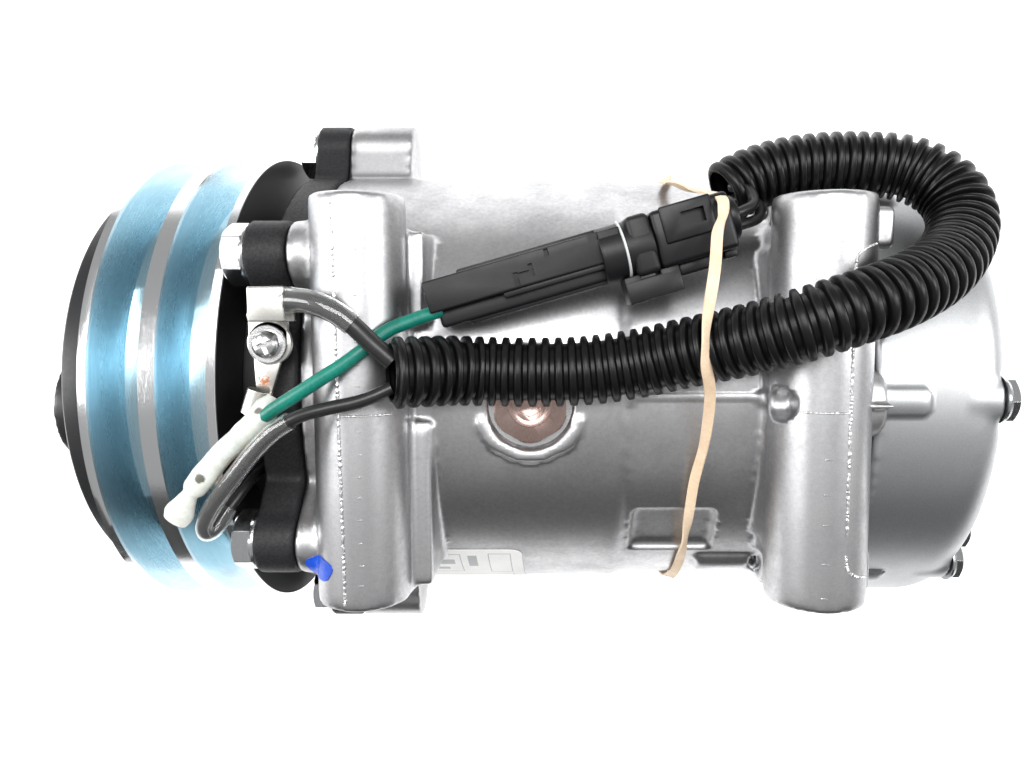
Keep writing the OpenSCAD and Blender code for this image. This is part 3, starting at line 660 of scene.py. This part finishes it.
# %% The wire side of the connector
top = block((0, 46), (-1.7, 5.6), (-5.2, 5.2), 0.5, 3)
cut(top, block((20.2, 21.3), (-1.0, 2.0), (4.3, 6), 0), block((24.0, 25.0), (0.2, 3.0), (4.3, 6), 0),
    block((20.2, 25.0), (0.7, 1.7), (4.3, 6), 0), block((28.2, 29.3), (3.4, 5.2), (4.3, 6), 0),
    block((38.5, 41), (3.8, 6), (4.5, 6), 0))
shelf = block((1.5, 46), (-5.6, -1.2), (-5.2, 2.4), 0.9, 3)
lip = block((17, 45), (-2.9, -1.4), (1.4, 4.4), 0.3)
side_ribs = block((8, 42), (-6.5, 6.5), (-3, 1.6), 0.6)
barrel = bar("x", (46.8, 0, 0), 6.5, 12.4, 48, 0.5, 3)
collar = block((47.4, 53), (-6.9, 6.9), (-5.8, 6.2), 1.4, 4)
arm = block((44, 57), (-12.4, -7.4), (3.0, 5.0), 0.5)
post = block((44, 48), (-12.5, -6.2), (-2.6, 4.8), 0.5)
arm_end = block((52.5, 57), (-12.4, -6.4), (-2.4, 4.9), 0.5)
plug = moved(joined("connector_wire_side", top, shelf, lip, side_ribs, barrel, collar, arm, post, arm_end),
             connector_place)
place(smooth(plug, 30), "connector_grey", "connector_grey", "connector_plug")

# %% The far side of the connector, and its seal ring with a painted highlight
shell = cut(block((53.1, 71.7), (-6.6, 6.6), (-5.8, 5.8), 1.2, 3),
            block((60, 65.4), (1.2, 4.6), (4.4, 7), 0), block((57.6, 59.2), (-0.6, 3.4), (5.2, 7), 0))
strap = cut(block((55.4, 67.4), (-1.6, 6.9), (5.4, 6.5), 0.5, 3),
            block((60, 65.4), (1.2, 4.6), (4.4, 7), 0))
lug = block((57, 67), (-9.4, -6.2), (-3, 3), 0.7, 3)
barb = block((68.4, 71.6), (-8.6, -6.2), (-2.4, 2.4), 0.6)
boot = bar("x", (72.4, 0.4, -0.4), 5.2, 2.6, 40, 0.7, 3)
socket = moved(joined("connector_far_side", shell, strap, lug, barb, boot), connector_place)
place(smooth(socket, 30), "connector_black", "connector_black", "connector_socket")

# The seal ring is pale grey on the dark connector: its pale tone is a painted highlight line along the
# edge.
ring = moved(turned("connector_seal_highlight", [(45.9, 6.35), (46.0, 6.95), (46.45, 6.95), (46.55, 6.35)], 64),
             connector_place)
place(smooth(ring), "pale_highlight_grey", "connector_grey")
print("connector faces", len(plug.data.polygons) + len(socket.data.polygons))

# %% [markdown]
# ## The lead bracket and its screw
#
# The bracket is folded from tin-plated sheet. A round foot sits under the screw, a neck climbs to
# a square clip for the lead, and a narrow tongue reaches the splice. The screw head is turned,
# and its cross is cut with two crossed wedges.

# %% The bracket
FOOT = Vector((28.8, 13.6, 64))
foot_disc = bar("z", (0.2, 0.2, 0.7), 5.2, 1.4, 48, 0.25)
foot_plate = block((-4.6, 4.6), (0, 7.4), (0, 1.4), 0.25)
tongue = block((-3.6, 3.4), (-13.2, -2), (0.05, 1.35), 0.25)


def tapered(piece, axis, start, end, scale, shift=0.0):
    """Narrows a piece along an axis: x is scaled and shifted more the nearer it is to end."""
    for vertex in piece.data.vertices:
        share = (vertex.co[axis] - start * MM) / ((end - start) * MM)
        share = min(max(share, 0), 1)
        vertex.co.x = vertex.co.x * (1 + (scale - 1) * share) + shift * MM * share
    return piece


tapered(tongue, 1, -2, -13.2, 0.42, -1.6)
neck = block((-2.2, 5.4), (6, 7.4), (0.2, 8.2), 0.3)
clip = joined(
    "clip", block((0.6, 8.6), (5.4, 13.0), (6.8, 8.2), 0.3),
    block((0.6, 8.6), (5.4, 13.0), (13.6, 15), 0.4, 3),
    block((0.6, 2), (5.4, 13.0), (6.9, 14.9), 0.3), block((7.2, 8.6), (5.4, 13.0), (6.8, 9.2), 0.3))
crimp = turned("crimp", [(-3.0, 2.2), (-3.0, 2.9), (2.8, 2.9), (2.8, 2.2)], 40)
moved(crimp, Matrix.Translation(Vector((-2.6, -13.4, 2.7)) * MM) @ turn(72, "Z"))
bracket = joined("bracket_folded", foot_disc, foot_plate, tongue, neck, clip, crimp)
moved(bracket, Matrix.Translation(FOOT * MM))
place(smooth(bracket, 35), "tin_plate", "bright_steel", "lead_bracket")

# %% The screw
upright = turn(-90, "Y")
screw = turned("screw_cross_head", [
    (-9.0, 0), (-9.0, 2.0), (-0.1, 2.2), (-0.1, 4.3), (0.5, 4.5), (0.9, 4.3), (0.9, 3.2), (1.9, 3.25),
    (2.7, 2.9), (3.2, 2.3), (3.55, 1.3), (3.65, 0)], 56, closed=False)
moved(screw, upright)
for degrees in (20, 110):
    wedge = block((-2.3, 2.3), (-0.55, 0.55), (2.2, 4.2), 0)
    cut(screw, moved(wedge, turn(degrees, "Z")))
moved(screw, Matrix.Translation((FOOT + Vector((0, 0, 1.4))) * MM))
place(smooth(screw, 30), "bright_zinc", "bright_steel", "bracket_screw")

# %% [markdown]
# ## The castings
#
# A casting has no sharp corner: metal would not fill it. The CAD solids have only sharp ones, so
# a merged copy of each is remeshed into small even faces and then smoothed, which rounds every
# corner and fills every inner angle by a millimetre or two. Round faces were facets in CAD, so
# their points are set back on the true circle afterwards.

# %% A cast copy
def merged_copy(solid, name):
    piece = copied(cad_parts[solid], name)
    for key in list(piece.keys()):
        del piece[key]
    piece.parent = None
    piece.matrix_world = Matrix.Identity(4)
    piece.data.materials.clear()
    return edit(piece, lambda: bpy.ops.mesh.remove_doubles(threshold=0.01 * MM))


def cast(solid, name, voxel, rounds, most=190000):
    piece = merged_copy(solid, name)
    apply_modifier(piece, "REMESH", mode="VOXEL", voxel_size=voxel * MM, adaptivity=0.0)
    apply_modifier(piece, "SMOOTH", factor=0.5, iterations=rounds)
    triangles = 2 * len(piece.data.polygons)
    if triangles > most:
        apply_modifier(piece, "DECIMATE", ratio=most / triangles)
    only(piece)
    bpy.ops.object.shade_smooth()
    print(name, len(piece.data.polygons), "faces")
    return piece


def true_up(piece, axis, centre, radius, low, high, reach=0.5):
    """Sets the points near a circle of this radius back on it, between two stations of axis."""
    others = [i for i in range(3) if i != axis]
    co = np.zeros(len(piece.data.vertices) * 3)
    piece.data.vertices.foreach_get("co", co)
    co = co.reshape(-1, 3) / MM
    flat = co[:, others] - np.array(centre)
    size = np.linalg.norm(flat, axis=1)
    chosen = (np.abs(size - radius) < reach) & (co[:, axis] > low) & (co[:, axis] < high)
    flat[chosen] *= (radius / size[chosen])[:, None]
    co[:, others] = flat + np.array(centre)
    piece.data.vertices.foreach_set("co", (co * MM).ravel())
    piece.data.update()


# Each mounting bar: its axis along X and its radius. Both lie at the same height.
FRONT, REAR, BAR_Z = (49.7, 11), (158.2, 12), 63
case = cast("cylinder_block", "case_cast", 1.05, 5)
true_up(case, 0, (0, 0), 60.6, 54, 111)
true_up(case, 0, (0, 0), 59.6, 114, 148)
for x, r in (FRONT, REAR):
    for z in (BAR_Z, -BAR_Z):
        true_up(case, 1, (x, z), r, -45.5, 45.5)
place(case, "cast_aluminium", "cast_aluminium", "cylinder_block")
head = cast("cylinder_head", "head_cast", 1.05, 5, 150000)
true_up(head, 0, (0, 0), 64.6, 173, 193)
place(head, "head_aluminium", "head_aluminium", "cylinder_head")
flange = cast("front_housing", "flange_cast", 0.9, 4, 150000)
place(flange, "black_cast", "black_cast", "front_housing")

# %% [markdown]
# ## Marks on the castings
#
# Where the halves of the mould met, a thin ragged line of metal is left: the flash. Each line is a
# narrow tube that lies on the bar and wavers a little. Short raised ticks beside it come from the
# mould's ejector rail. A dab of blue paint marks that a bolt was tightened.

# %% Flash lines and ticks
def flash(name, points, radius=0.42):
    line = smooth_route(points, 14)
    wander = np.array([[random.uniform(-0.10, 0.10), 0, random.uniform(-0.05, 0.05)] for _ in line]) * MM
    radii = [random.uniform(0.55, 1.0) for _ in line]
    return tube(name, line + wander, radius, 1, radii)


def on_bar(which, offset, y, lift=0.05):
    """A point on a mounting bar's upper side, offset along X from its crown."""
    x, r = which
    return x + offset, y, BAR_Z + math.sqrt(r * r - offset * offset) + lift


flashes = [
    flash("flash", [on_bar(FRONT, -2.2 - 0.012 * (y + 46), y) for y in range(46, -47, -4)]),
    flash("flash", [on_bar(REAR, 3.4, y) for y in range(30, -34, -4)]),
    flash("flash", [on_bar(REAR, 3.4 + 0.09 * k * k, 30 + 2.2 * math.sqrt(k)) for k in range(0, 9)]),
    flash("flash", [on_bar(REAR, 3.4 + 0.09 * k * k, -34 - 2.2 * math.sqrt(k)) for k in range(0, 9)]),
    flash("flash", [on_bar(FRONT, o, -2.2, 0.0) for o in np.linspace(-2, 8.4, 9)], 0.3),
    flash("flash", [on_bar(REAR, o, -1.4, 0.0) for o in np.linspace(-7.4, 3.2, 9)], 0.3)]
ticks = []
for index in range(17):
    y = 40 - index * 5.1 + random.uniform(-0.3, 0.3)
    x, _, z = on_bar(FRONT, 1.7 + random.uniform(-0.15, 0.15), y, 0)
    width = random.uniform(0.8, 1.5)
    ticks.append(block((x - width / 2, x + width / 2), (y - 0.16, y + 0.16), (z - 0.3, z + 0.16), 0.1, 1))
for y in (24, 17, -12, -20, -27, -36, -44):
    x, _, z = on_bar(REAR, -1.4, y, 0)
    ticks.append(block((x - 0.8, x + 0.8), (y - 0.14, y + 0.14), (z - 0.3, z + 0.14), 0.1, 1))
# The flash lines and ticks are a lighter metal than the casing: the light tone is a painted highlight along
# them.
place(smooth(joined("flash_lines", *flashes), 60), "highlight_aluminium", "cast_aluminium")
place(smooth(joined("rail_ticks", *ticks), 30), "highlight_aluminium", "cast_aluminium")

# %% Tabs and a boss behind the rear bar
tab_high = block((159, 174), (35.5, 45.5), (58.5, 65.5), 1.6, 4)
tab_low = block((160, 171), (-46, -35.5), (58.5, 65.5), 1.6, 4)
boss = turned("boss", [(160, 0), (160, 10.5), (166, 9.6), (171.5, 7.4), (172.6, 6.2), (172.6, 0)], 64,
              closed=False)
moved(boss, shift(0, -0.5, 64.2) @ Matrix.Diagonal((1, 1, 0.62, 1)))
ridge = block((166, 173.2), (-1.0, 0.0), (66, 70.4), 0.3)
tabs = joined("bar_tabs", tab_high, tab_low, boss, ridge)
apply_modifier(tabs, "REMESH", mode="VOXEL", voxel_size=0.5 * MM)
apply_modifier(tabs, "SMOOTH", factor=0.5, iterations=4)
place(smooth(tabs, 60), "cast_aluminium", "cast_aluminium")

# %% The paint dab
DAB_X, DAB_Y = 40.4, -38.6
deselect()
bpy.ops.mesh.primitive_circle_add(vertices=48, radius=3.6 * MM, fill_type="TRIFAN",
                                  location=Vector((DAB_X, DAB_Y, 76)) * MM)
dab = settle(named("paint_dab"))
for vertex in dab.data.vertices:
    angle = math.atan2(vertex.co.y - DAB_Y * MM, vertex.co.x - DAB_X * MM)
    wobble = 1 + 0.10 * math.sin(2 * angle + 1) + 0.06 * math.sin(5 * angle)
    vertex.co.x = DAB_X * MM + (vertex.co.x - DAB_X * MM) * wobble
    vertex.co.y = DAB_Y * MM + (vertex.co.y - DAB_Y * MM) * wobble * 0.85
edit(dab, lambda: bpy.ops.mesh.subdivide(number_cuts=3))
apply_modifier(dab, "SHRINKWRAP", target=case, wrap_method="PROJECT", use_project_z=True,
               use_negative_direction=True, use_positive_direction=False, offset=0.12 * MM)
apply_modifier(dab, "SOLIDIFY", thickness=0.25 * MM, offset=0)
place(smooth(dab, 60), "blue_paint", "cast_aluminium")

# %% [markdown]
# The label is a thin sticker with rounded corners on the curved casing. It starts as a grid, and
# its points are wrapped round the case's radius. Its UV map is the flat sheet, so the plain
# boxes printed on it follow the sheet. Nothing on it can be read.

# %% The label
label_long, label_wide, label_x = 31.0, 42.0, 71.0
deselect()
bpy.ops.mesh.primitive_grid_add(x_subdivisions=48, y_subdivisions=64, size=1, calc_uvs=True)
sticker = settle(named("label_sheet"))
corner, wrap_r, middle_angle = 3.0, 60.78, 64.0
for vertex in sticker.data.vertices:
    u, v = vertex.co.x * label_long, vertex.co.y * label_wide
    inner = Vector((max(abs(u) - (label_long / 2 - corner), 0), max(abs(v) - (label_wide / 2 - corner), 0)))
    if inner.x > 0 and inner.y > 0 and inner.length > corner:
        inner *= corner / inner.length
        u = math.copysign(label_long / 2 - corner + inner.x, u)
        v = math.copysign(label_wide / 2 - corner + inner.y, v)
    angle = math.radians(middle_angle) + v / wrap_r
    vertex.co = Vector((label_x + u, -wrap_r * math.sin(angle), wrap_r * math.cos(angle))) * MM
edit(sticker, outward)
apply_modifier(sticker, "SOLIDIFY", thickness=0.16 * MM, offset=0)
label_look = FINISHES["label_white"]
flat = node(label_look.tree, "UVMap", uv_map=sticker.data.uv_layers[0].name)
split = node(label_look.tree, "SeparateXYZ", {0: flat.outputs["UV"]})


def filled(x0, x1, y0, y1):
    """A mask of a box on the sheet, whose sides run from 0 to 1."""
    sides = ((0, "GREATER_THAN", x0), (0, "LESS_THAN", x1), (1, "GREATER_THAN", y0), (1, "LESS_THAN", y1))
    total = 1.0
    for axis, kind, value in sides:
        test = maths(label_look.tree, kind, split.outputs[axis], value)
        total = maths(label_look.tree, "MULTIPLY", total, test)
    return total


def outlined(x0, x1, y0, y1, line=0.008):
    inner = filled(x0 + line, x1 - line, y0 + line, y1 - line)
    return maths(label_look.tree, "SUBTRACT", filled(x0, x1, y0, y1), inner)


for shape, *box in (
        (outlined, 0.70, 0.90, 0.05, 0.42), (outlined, 0.10, 0.46, 0.06, 0.40),
        (filled, 0.52, 0.60, 0.08, 0.26), (filled, 0.16, 0.40, 0.14, 0.22),
        (filled, 0.16, 0.34, 0.28, 0.33), (outlined, 0.10, 0.90, 0.50, 0.94),
        (filled, 0.18, 0.82, 0.66, 0.78)):
    label_look.over(shape(*box), (0.36, 0.37, 0.38))
place(smooth(sticker, 40), "label_white", "label_white", "label")
print("label", label_long, "by", label_wide, "mm")

# %% [markdown]
# ## The oil plug
#
# A large hexagon head with a chamfer is screwed down on a washer face. Its top is tinted pink by
# the sealing compound, and a small socket sits in its middle.

# %% The oil plug
PLUG = Matrix.Translation(Vector((89.5, -1.4, 0)) * MM)
washer = turned("washer", [(57.7, 2.0), (57.7, 10.1), (58.3, 10.4), (59.2, 10.2), (59.3, 2.0)], 72)
moved(washer, upright)
hexagon = bar("z", (0, 0, 60.2), 10.0, 2.0, 6, 0)
chamfer = bar("z", (0, 0, 60.2), 9.3, 2.1, 72, 0.75, 3)
boolean(hexagon, chamfer, "INTERSECT")
cut(hexagon, bar("z", (0, 0, 61.4), 2.9, 2.0, 6, 0))
hexagon = bevelled(hexagon, 0.18)
dimple = turned("dimple", [(61.0, 3.4), (61.25, 3.9), (61.25, 5.2), (61.0, 5.6)], 64)
moved(dimple, upright)
pink = joined("oil_plug_face", hexagon, dimple)
place(smooth(moved(pink, PLUG), 30), "plug_metal", "plug_metal", "oil_plug")
place(smooth(moved(joined("oil_plug_washer", washer), PLUG), 30), "bright_zinc", "bright_steel")

# %% [markdown]
# ## The rubber band
#
# A flat band holds the loom and the connector on the casing. It is a ribbon: a route that goes
# all the way round, with a section that is wide and thin, and that turns over here and there.

# %% The rubber band
front_run = [(125.4, 56.6, 25), (126.6, 54.6, 36), (129.6, 51.0, 50), (132.6, 47.2, 67.6),
             (132.4, 43.0, 74.2),
             (131.0, 38.4, 75.2), (129.4, 30.0, 80.8), (127.2, 18.6, 84.4), (127.6, 10.4, 82.4),
             (129.8, 3.0, 76.0),
             (130.6, -9.0, 66.4), (129.6, -20.5, 58.6)]
under = [(129.4 - 0.9 * math.sin(math.radians(a - 24) * 0.5),
          -61.0 * math.sin(math.radians(a)), 61.0 * math.cos(math.radians(a))) for a in range(28, 286, 9)]
loop = front_run + under
deselect()
bpy.ops.mesh.primitive_cube_add(size=0.001)
band = named("band_latex")
SECTION = ((-1, -0.6), (0, -1), (1, -0.6), (1, 0.6), (0, 1), (-1, 0.6))
BAND_WIDE, BAND_THICK = 1.25 * MM, 0.42 * MM
rings, faces, around = [], [], len(SECTION)
dense = smooth_route([*loop, loop[0]], 6)[:-1]
for index, here in enumerate(dense):
    ahead = Vector(dense[(index + 1) % len(dense)] - dense[index - 1]).normalized()
    out = Vector((0, here[1], here[2])).normalized()
    twist = 0.9 * math.sin(index / len(dense) * 14 * math.pi) ** 3 if index > 4 else 0
    across = ahead.cross(out).normalized()
    out = across.cross(ahead).normalized()
    wide = Vector(across * math.cos(twist) + out * math.sin(twist))
    thick = Vector(out * math.cos(twist) - across * math.sin(twist))
    for w, t in SECTION:
        rings.append(Vector(here) + wide * (BAND_WIDE * w) + thick * (BAND_THICK * t))
total = len(dense)
for i in range(total):
    for s in range(around):
        a, b = i * around + s, i * around + (s + 1) % around
        c, d = (a + around) % (total * around), (b + around) % (total * around)
        faces.append((a, b, d, c))
band.data.clear_geometry()
band.data.from_pydata(rings, [], faces)
band.data.update()
edit(band, outward)
place(smooth(band, 50), "latex_tan", "band_rubber", "rubber_band")
print("band", round(length_of(dense), 3), "m round")

# %% [markdown]
# ## The pulley
#
# The pulley is turned from one forging: a drum with two V-grooves. Its outline is drawn once and
# spun in many steps, so its rim stays round in a close view. Every corner is broken a little by
# a bevel, because a belt would fray on a sharp one. Six arcs in its web steer the magnetic field.

# %% Arcs that cut slots
def closed_ends(piece):
    return edit(piece, lambda: bpy.ops.mesh.fill_holes(sides=0), outward)


def arc_cutter(x0, x1, r0, r1, start, sweep):
    return about_x(closed_ends(turned("arc", [(x0, r0), (x1, r0), (x1, r1), (x0, r1)], 20, sweep)), start)


# %% The pulley's drum and grooves
GROOVES, MOUTH, FLOOR, RIM_R, FLOOR_R = (-8, 8), 12.1, 5.28, 66.0, 55.5
outline = [(-16.1, 38), (-16.1, RIM_R)]
for x in GROOVES:
    outline += [(x - MOUTH / 2, RIM_R), (x - FLOOR / 2, FLOOR_R), (x + FLOOR / 2, FLOOR_R),
                (x + MOUTH / 2, RIM_R)]
outline += [(16.4, RIM_R), (16.4, 50.5), (-11.6, 50.5), (-11.6, 33.5), (15, 33.5), (15, 27.55), (-8, 27.55),
            (-13.1, 33.5)]
pulley = turned("pulley_turned", outline, 192)
for k in range(6):
    cut(pulley, arc_cutter(-18, -9, 41, 43.4, 60 * k, 44))
pulley = bevelled(pulley, 0.32, 2, 25)
place(smooth(pulley, 28), "blue_zinc", "zinc_steel", "pulley", "pulley_rims", body="pulley_set")
print("pulley", len(pulley.data.polygons), "faces")

# %% [markdown]
# ## The armature and its hub
#
# The armature is a black plate with six slots. The pull of the coil draws it against the pulley.
# The hub in front of it holds three cups of rubber, so the plate can move by half a millimetre.
# The hub is pressed from sheet and painted, so its corners are round: it is cast like the others.

# %% The armature plate
armature = turned("armature_plate_slotted", [
    (-21.8, 30), (-21.8, 53.4), (-22.4, 54), (-24.9, 54), (-25.4, 54.6), (-25.4, 56.8), (-24.8, 57.4),
    (-24.2, 57.5),
    (-17.2, 57.5), (-16.6, 56.9), (-16.6, 30)], 160)
for k in range(6):
    cut(armature, arc_cutter(-26, -14, 44.4, 46.6, 10 + 60 * k, 40))
armature = bevelled(armature, 0.22, 2, 40)
place(smooth(armature, 28), "black_plate", "black_cast", "armature_plate", body="armature")
hub = cast("clutch_hub", "hub_pressed", 0.6, 3, 150000)
place(hub, "black_plate", "black_cast", "clutch_hub", body="rotor")

# %% The rubber dampers, the rivets and the driving pins
LOBE, LOBE_AT, RIVET_AT, RIVET_RING = 38, 6, -27, 49


def around_ring(piece, ring, start, count, name):
    """Copies a piece made on the shaft axis to even places round a ring."""
    moved(piece, shift(0, 0, ring))
    about_x(piece, start)
    return joined(name, piece, *[copied(piece, name, 360 * k / count) for k in range(1, count)])


damper = turned("damper", [(-23.1, 4), (-31.6, 4), (-32.25, 4.7), (-32.25, 8.2), (-31.7, 8.85),
                           (-29.2, 8.9),
                           (-28.8, 9.3), (-28.8, 12.0), (-28.4, 12.5), (-23.4, 12.5), (-23.1, 12.2)], 48)
place(smooth(around_ring(damper, LOBE, LOBE_AT, 3, "dampers"), 30), "damper_rubber", "damper_rubber",
      "hub_dampers", body="rotor")
rivet = turned("rivet", [(-25.2, 0), (-25.15, 1.6), (-24.7, 3.1), (-23.9, 4.2), (-22.9, 4.6), (-21.9, 4.6),
                         (-21.8, 3), (-17, 3), (-17, 0)], 40, closed=False)
pin = turned("pin", [(-30.2, 0), (-30.2, 2.8), (-29.6, 3.4), (-21.85, 3.4), (-21.85, 0)], 40, closed=False)
rivets = joined("rivets_and_pins", around_ring(rivet, RIVET_RING, RIVET_AT, 3, "rivets"),
                around_ring(pin, LOBE, LOBE_AT, 3, "pins"))
place(smooth(rivets, 30), "bright_zinc", "bright_steel", "armature_rivets", body="armature")

# %% [markdown]
# ## Bolts
#
# A hexagon head is a six-sided bar whose corners are turned off: it is the part that the bar and
# a chamfered disc share, so a Boolean INTERSECT makes it. Its flange is turned. One bolt is made
# at the shaft axis, and copies of it are set round the ring.

# %% Bolts with a hexagon head
def hexagon_head(x0, x1, flats):
    """A hexagon bar along X, chamfered at its x0 end."""
    piece = about_x(bar("x", ((x0 + x1) / 2, 0, 0), flats / math.sqrt(3), abs(x1 - x0), 6, 0), 30)
    step = math.copysign(flats * 0.075, x1 - x0)
    disc = turned("disc", [(x0, 0), (x0, flats * 0.46), (x0 + step, flats * 0.59), (x1, flats * 0.59),
                           (x1, 0)],
                  60, closed=False)
    return bevelled(boolean(piece, disc, "INTERSECT"), 0.12, 1, 30)


nut = hexagon_head(-31.4, -26.85, 17)
cut(nut, bar("x", (-29, 0, 0), 6.05, 8, 48, 0))
place(smooth(nut, 25), "bright_zinc", "bright_steel", "shaft_nut", body="rotor")

bolt_body = turned("bolt", [(22.4, 0), (22.4, 5.6), (22.7, 6.7), (23.5, 7.15), (24.0, 7.15), (24.0, 3.9),
                            (43.6, 3.9),
                            (43.8, 3.6), (43.8, 0)], 48, closed=False)
bolt_head = hexagon_head(18.3, 23.2, 13)
cut(bolt_head, turned("dish", [(17.5, 0), (17.5, 4.4), (18.3, 4.4), (18.75, 3.6), (18.9, 0)], 40,
                      closed=False))
housing_bolts = around_ring(joined("bolt", bolt_head, bolt_body), 69, 30, 6, "bolts_housing")
place(smooth(housing_bolts, 25), "bright_steel", "bright_steel", "housing_bolts")

rear_body = turned("bolt", [(203.6, 0), (203.6, 4.9), (203.3, 5.6), (202.6, 5.95), (202.1, 5.95),
                            (202.1, 3.3),
                            (149.8, 3.3), (149.7, 0)], 40, closed=False)
rear_head = hexagon_head(205.6, 202.6, 10)
cut(rear_head, turned("dish", [(206.5, 0), (206.5, 3.4), (205.6, 3.4), (205.2, 2.8), (205.1, 0)], 40,
                      closed=False))
rear = around_ring(joined("bolt", rear_head, rear_body), 59.5, 0, 7, "bolts_head")
relief = joined("relief", hexagon_head(207, 204.1, 9),
                turned("stub", [(208, 0), (208, 2.3), (207.4, 3), (196, 3), (196, 0)], 32, closed=False))
moved(relief, shift(0, -38, 38))
place(smooth(joined("bolts_head", rear, relief), 25), "bright_steel", "bright_steel", "head_bolts")
print("bolts", len(housing_bolts.data.polygons) + len(rear.data.polygons), "faces")

# %% [markdown]
# ## The parts inside
#
# The mechanism is exact in CAD, so its solids stay. Each only gets a finish that suits it: ground
# steel for what runs, spring steel for reeds and rings, sintered steel for the gears.

# %% Finishes of the CAD solids that stay
KEPT = {
    "seal_rubber": "housing_o_ring shaft_seal", "gasket_grey": "valve_gaskets",
    "spring_steel": "reed_valves snap_rings", "black_plate": "coil_shell",
    "copper_winding": "coil_winding", "gear_steel": "cam_rotor planet_gear fixed_gear",
    "bright_steel": "bearing_balls shaft_bearing pivot_ball",
    "bored_aluminium": "wobble_plate" + "".join(f" piston_{k}" for k in range(1, 8)),
    "ground_steel": "valve_plate bearing_outer_race bearing_inner_race drive_shaft front_thrust_bearing "
                    "rotor_thrust_bearing" + "".join(f" rod_{k}" for k in range(1, 8))}
for look, nodes in KEPT.items():
    for name in nodes.split():
        dress(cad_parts[name], look)
    print(look, "on", nodes)

# %% [markdown]
# ## Floor and light
#
# The part lies on a white sheet, with one broad soft lamp above, one large window-like lamp to
# the left and a weaker one to the right. Polished metal shows what surrounds it, so a dark card
# on the near side gives the round casing its dark band. The world is white to the camera, but a
# Light Path node lets less of it fall on the part.

# %% The floor
AIM = Vector((0.09, 0, 0))
FLOOR_Z = -0.0765
deselect()
bpy.ops.mesh.primitive_plane_add(size=6, location=(*AIM.xy, FLOOR_Z))
floor = settle(named("floor_sheet"))
dress(floor, "floor_white")

# %% The lamps and the dark card
WORLD_LIGHT, WORLD_SEEN = 0.40, 1.0
world = bpy.data.worlds.new("studio")
world.use_nodes = True
backdrop = world.node_tree.nodes["Background"]
backdrop.inputs["Color"].default_value = (1, 1, 1, 1)
seen = node(world.node_tree, "LightPath").outputs["Is Camera Ray"]
strength = spread(world.node_tree, seen, 0, 1, WORLD_LIGHT, WORLD_SEEN)
world.node_tree.links.new(strength, backdrop.inputs["Strength"])
bpy.context.scene.world = world


def facing(place):
    """The rotation that turns a lamp or a card at this place to the part."""
    return (Vector(place) - AIM).to_track_quat("Z", "Y").to_euler()


def lamp(name, place, size, watts):
    data = bpy.data.lights.new(name, "AREA")
    data.shape, data.size, data.size_y, data.energy = "RECTANGLE", *size, watts
    thing = linked(bpy.data.objects.new(name, data))
    thing.location, thing.rotation_euler = place, facing(place)


lamp("lamp_top", (0.05, 0.35, 1.0), (0.8, 0.45), 10)
lamp("lamp_left", (-0.8, 0.1, 0.55), (0.4, 0.8), 8)
lamp("lamp_right", (0.95, 0.2, 0.7), (0.3, 0.7), 6)

CARD_PLACE, CARD_SIZE = (0.09, -0.46, 0.16), (1.5, 0.40)
deselect()
bpy.ops.mesh.primitive_plane_add(size=1)
card = named("card_near")
card.scale = (*CARD_SIZE, 1)
card.location, card.rotation_euler = CARD_PLACE, facing(CARD_PLACE)
dress(settle(card), "damper_rubber")
card.visible_camera = card.visible_shadow = card.visible_diffuse = False
